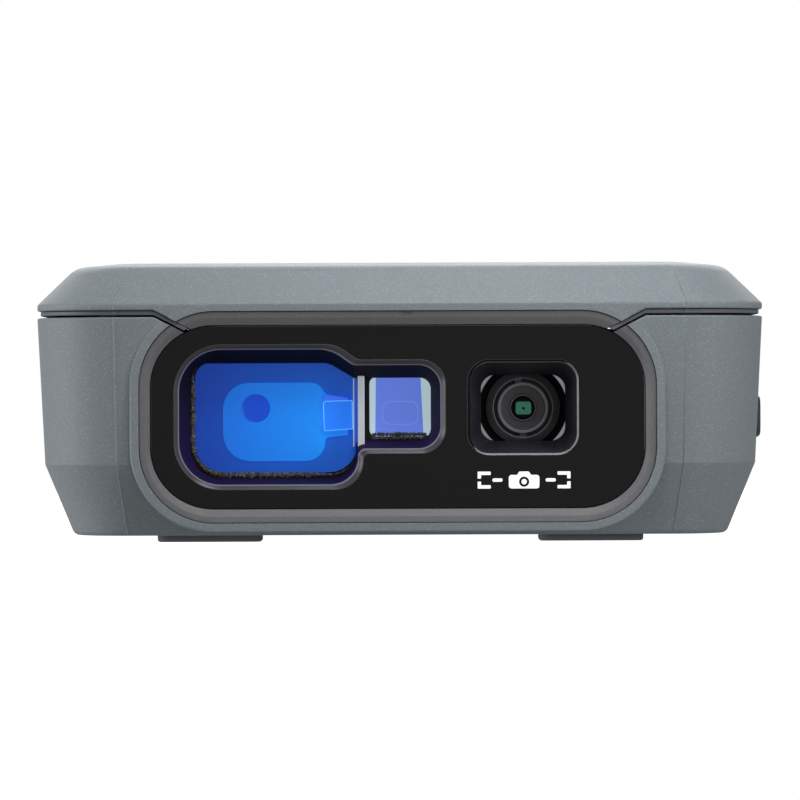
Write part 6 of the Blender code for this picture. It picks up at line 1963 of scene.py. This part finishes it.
    def insert(self) -> None:
        """The brass tripod insert with a real thread: the bore's radius follows a sawtooth of height and turn."""
        low, high = box_mm("tripod_insert")
        x, y = (low[:2] + high[:2]) / 2
        steps = 72
        turn = np.linspace(0, 2 * math.pi, steps, endpoint=False)
        unit = np.stack([np.cos(turn), np.sin(turn)], axis=1)
        outer = [
            (4.35, low[2]), (4.6, low[2] + 0.2), (4.6, low[2] + 2.9), (4.1, low[2] + 3.3), (4.1, low[2] + 4.5),
            (4.6, low[2] + 4.9), (4.6, high[2]),
        ]
        rings = [np.column_stack([x + r * unit[:, 0], y + r * unit[:, 1], np.full(steps, z)]) for r, z in outer]
        heights = np.arange(high[2], low[2] + 0.5, -self.pitch / 8)
        phase = (heights[:, None] / self.pitch - turn[None, :] / (2 * math.pi)) % 1.0
        radius = self.bore_radius - self.thread_depth + 2 * self.thread_depth * np.abs(phase - 0.5)
        bore = np.stack(
            [x + radius * unit[:, 0], y + radius * unit[:, 1], np.broadcast_to(heights[:, None], radius.shape)],
            axis=-1,
        )
        mouth = [(3.2, low[2] + 0.42), (3.6, low[2])]
        rings += list(bore)
        rings += [np.column_stack([x + r * unit[:, 0], y + r * unit[:, 1], np.full(steps, z)]) for r, z in mouth]
        piece = make_piece("tripod_bush", loft(rings, closed=True))
        dress(piece, TURNED_BRASS, "brass", "tripod_insert", crease=40.0)

    def build(self) -> None:
        """Builds everything on the underside."""
        self.door()
        self.feet()
        self.plate()
        self.screws()
        self.insert()


# ---------------------------------------------------------------- parts kept from the frame
INNER_FINISHES: dict[str, Finish] = {
    "optics_carrier": CARRIER_ALLOY, "laser_barrel": TURNED_BRASS, "laser_diode": BRIGHT_STEEL,
    "collimator_lens": OPTICAL_GLASS, "detector_board": SOLDER_MASK, "detector_chip": DARK_PLASTIC,
    "detector_shield": BRIGHT_STEEL, "camera_board": SOLDER_MASK, "display_panel": DISPLAY_LIT,
    "display_tray": DARK_PLASTIC, "keypad_mat": SILICONE_DARK, "dome_sheet": BRIGHT_STEEL,
    "main_board": SOLDER_MASK, "speaker": BRIGHT_STEEL, "side_switch": BRIGHT_STEEL, "port_socket": BRIGHT_STEEL,
    "battery_tray": DARK_PLASTIC, "battery_pack": SHRINK_WRAP, "battery_contacts": TURNED_BRASS,
}


def finish_inner_parts(nodes: dict[str, bpy.types.Object]) -> None:
    """Gives each CAD solid that stays its finish.

    Args:
        nodes: the frame's objects by name.
    """
    for name, finish in INNER_FINISHES.items():
        part = nodes[name]
        if not part.data.materials:
            part.data.materials.append(finish.material())
        for slot in part.material_slots:
            slot.material = finish.material()
        log.info("%s: kept, finished in %s", name, finish.name)


# ---------------------------------------------------------------- studio
@dataclass(frozen=True)
class Softbox:
    """A rectangular light: where it stands and points, in millimetres, its size, power and colour."""

    name: str
    place: tuple[float, float, float]
    aim: tuple[float, float, float]
    size: tuple[float, float]
    power: float
    colour: str = "FFFFFF"

    def build(self) -> bpy.types.Object:
        """Makes the light."""
        light = bpy.data.lights.new(self.name, "AREA")
        light.shape = "RECTANGLE"
        light.size, light.size_y = self.size[0] * MM, self.size[1] * MM
        light.energy = self.power
        light.color = linear(self.colour)[:3]
        lamp = bpy.data.objects.new(self.name, light)
        bpy.context.scene.collection.objects.link(lamp)
        lamp.location = Vector(self.place) * MM
        lamp.rotation_euler = (Vector(self.aim) - Vector(self.place)).to_track_quat("-Z", "Y").to_euler()
        lamp.visible_camera = False
        return lamp


@dataclass
class Studio:
    """A pale floor, soft lights, a white surround and the camera in front of the window."""

    distance: float = 700.0
    view_width: float = 70.55
    eye_height: float = 12.55
    roll: float = 0.22
    floor_radius: float = 420.0
    floor_glow: float = 1.0
    ambient: float = 0.28
    softboxes: tuple[Softbox, ...] = (
        Softbox("left_softbox", (-480, -71, 60), (0, -60, 12), (300, 300), 1.29),
        Softbox("near_right_softbox", (120, -150, 60), (25, -71, 14), (40, 60), 0.037),
        Softbox("low_right_softbox", (90, -140, 14), (25, -71, 8), (40, 20), 0.015),
        Softbox("low_left_softbox", (-90, -140, 14), (-25, -71, 8), (40, 20), 0.004),
        Softbox("front_top_softbox", (6, -150, 110), (6, -71, 14), (50, 30), 0.038),
        Softbox("overhead_softbox", (8, -80, 80), (8, -67, 20), (30, 24), 0.017),
        Softbox("rear_softbox", (0, 520, 300), (0, 60, 10), (500, 250), 2.1),
    )

    def floor(self) -> bpy.types.Object:
        """The floor: a flat disc of rings, pale, and fading out towards its edge."""
        radii = np.linspace(0.5, self.floor_radius, 24)
        turn = np.linspace(0, 2 * math.pi, 96, endpoint=False)
        x = radii[:, None] * np.cos(turn)
        y = radii[:, None] * np.sin(turn)
        top = np.stack([x, y, np.zeros_like(x)], axis=-1)
        under = (top[::-1] + [0, 0, -0.5])[:1]
        piece = make_piece("studio_floor", loft(np.concatenate([top, under])))
        material = bpy.data.materials.new("floor_paper_matt")
        material.use_nodes = True
        tree = material.node_tree
        shader = tree.nodes["Principled BSDF"]
        shader.inputs["Base Color"].default_value = linear("C8C8C8")
        shader.inputs["Roughness"].default_value = 0.9
        shader.inputs["Specular IOR Level"].default_value = 0.0
        shader.inputs["Emission Color"].default_value = linear("FFFFFF")
        path = add_node(tree, "ShaderNodeLightPath")
        glow = add_node(
            tree, "ShaderNodeMath", {"operation": "MULTIPLY", 1: self.floor_glow}, {0: (path, "Is Camera Ray")},
        )
        tree.links.new(glow.outputs["Value"], shader.inputs["Emission Strength"])
        place = add_node(tree, "ShaderNodeTexCoord")
        reach = add_node(tree, "ShaderNodeVectorMath", {"operation": "LENGTH"}, {0: (place, "Object")})
        fade = add_node(
            tree, "ShaderNodeMapRange",
            {
                "interpolation_type": "SMOOTHSTEP", "From Min": 0.35 * self.floor_radius * MM,
                "From Max": self.floor_radius * MM,
            },
            {"Value": (reach, "Value")},
        )
        facing = add_node(tree, "ShaderNodeNewGeometry")
        height = add_node(tree, "ShaderNodeSeparateXYZ", {}, {"Vector": (place, "Object")})
        under = add_node(tree, "ShaderNodeMath", {"operation": "LESS_THAN", 1: -0.1 * MM}, {0: (height, "Z")})
        below = add_node(
            tree, "ShaderNodeMath", {"operation": "MAXIMUM"}, {0: (under, "Value"), 1: (facing, "Backfacing")},
        )
        hidden = add_node(
            tree, "ShaderNodeMath", {"operation": "MAXIMUM"}, {0: (fade, "Result"), 1: (below, "Value")},
        )
        clear = add_node(tree, "ShaderNodeBsdfTransparent")
        mixed = add_node(
            tree, "ShaderNodeMixShader", {}, {0: (hidden, "Value"), 1: (shader, "BSDF"), 2: (clear, "BSDF")},
        )
        tree.links.new(mixed.outputs[0], tree.nodes["Material Output"].inputs["Surface"])
        piece.data.materials.append(material)
        piece.visible_shadow = piece.visible_diffuse = piece.visible_glossy = False  # lights the underside too
        return piece

    def surround(self) -> None:
        """A white surround for the eye, and a dim even one for everything that it lights."""
        world = bpy.data.worlds.new("studio_surround")
        bpy.context.scene.world = world
        world.use_nodes = True
        tree = world.node_tree
        tree.nodes.clear()
        path = add_node(tree, "ShaderNodeLightPath")
        dim = add_node(tree, "ShaderNodeBackground", {"Color": linear("FFFFFF"), "Strength": self.ambient})
        white = add_node(tree, "ShaderNodeBackground", {"Color": linear("FFFFFF"), "Strength": 1.0})
        mixed = add_node(
            tree, "ShaderNodeMixShader", {},
            {0: (path, "Is Camera Ray"), 1: (dim, "Background"), 2: (white, "Background")},
        )
        add_node(tree, "ShaderNodeOutputWorld", {}, {"Surface": (mixed, 0)})

    def camera(self) -> bpy.types.Object:
        """The camera: level, on the window's axis, far enough away that the body hides its own sides."""
        data = bpy.data.cameras.new("studio_camera")
        data.sensor_width = 36.0
        data.lens = data.sensor_width * self.distance / self.view_width
        data.clip_start, data.clip_end = 0.05, 20.0
        camera = bpy.data.objects.new("studio_camera", data)
        bpy.context.scene.collection.objects.link(camera)
        camera.location = Vector((0.0, BODY.front - self.distance, self.eye_height)) * MM
        camera.rotation_euler = (math.pi / 2, math.radians(self.roll), 0.0)
        bpy.context.scene.camera = camera
        return camera

    def build(self) -> None:
        """Builds the studio."""
        self.camera()
        self.floor()
        self.surround()
        for softbox in self.softboxes:
            softbox.build()
        bpy.context.scene.view_settings.view_transform = "Standard"


def main() -> None:
    """Builds the studio and every sub-assembly in order."""
    logging.basicConfig(level=logging.INFO, format="%(message)s")
    Studio().build()
    housing = Housing()
    housing.build()
    FrontWindow(housing).build()
    MeasuringOptics().build()
    CameraModule().build()
    Display().build()
    Keypad().build()
    SideFittings().build()
    RearLever().build()
    Underside().build()
    finish_inner_parts(frame["nodes"])


if __name__ == "__main__":
    main()
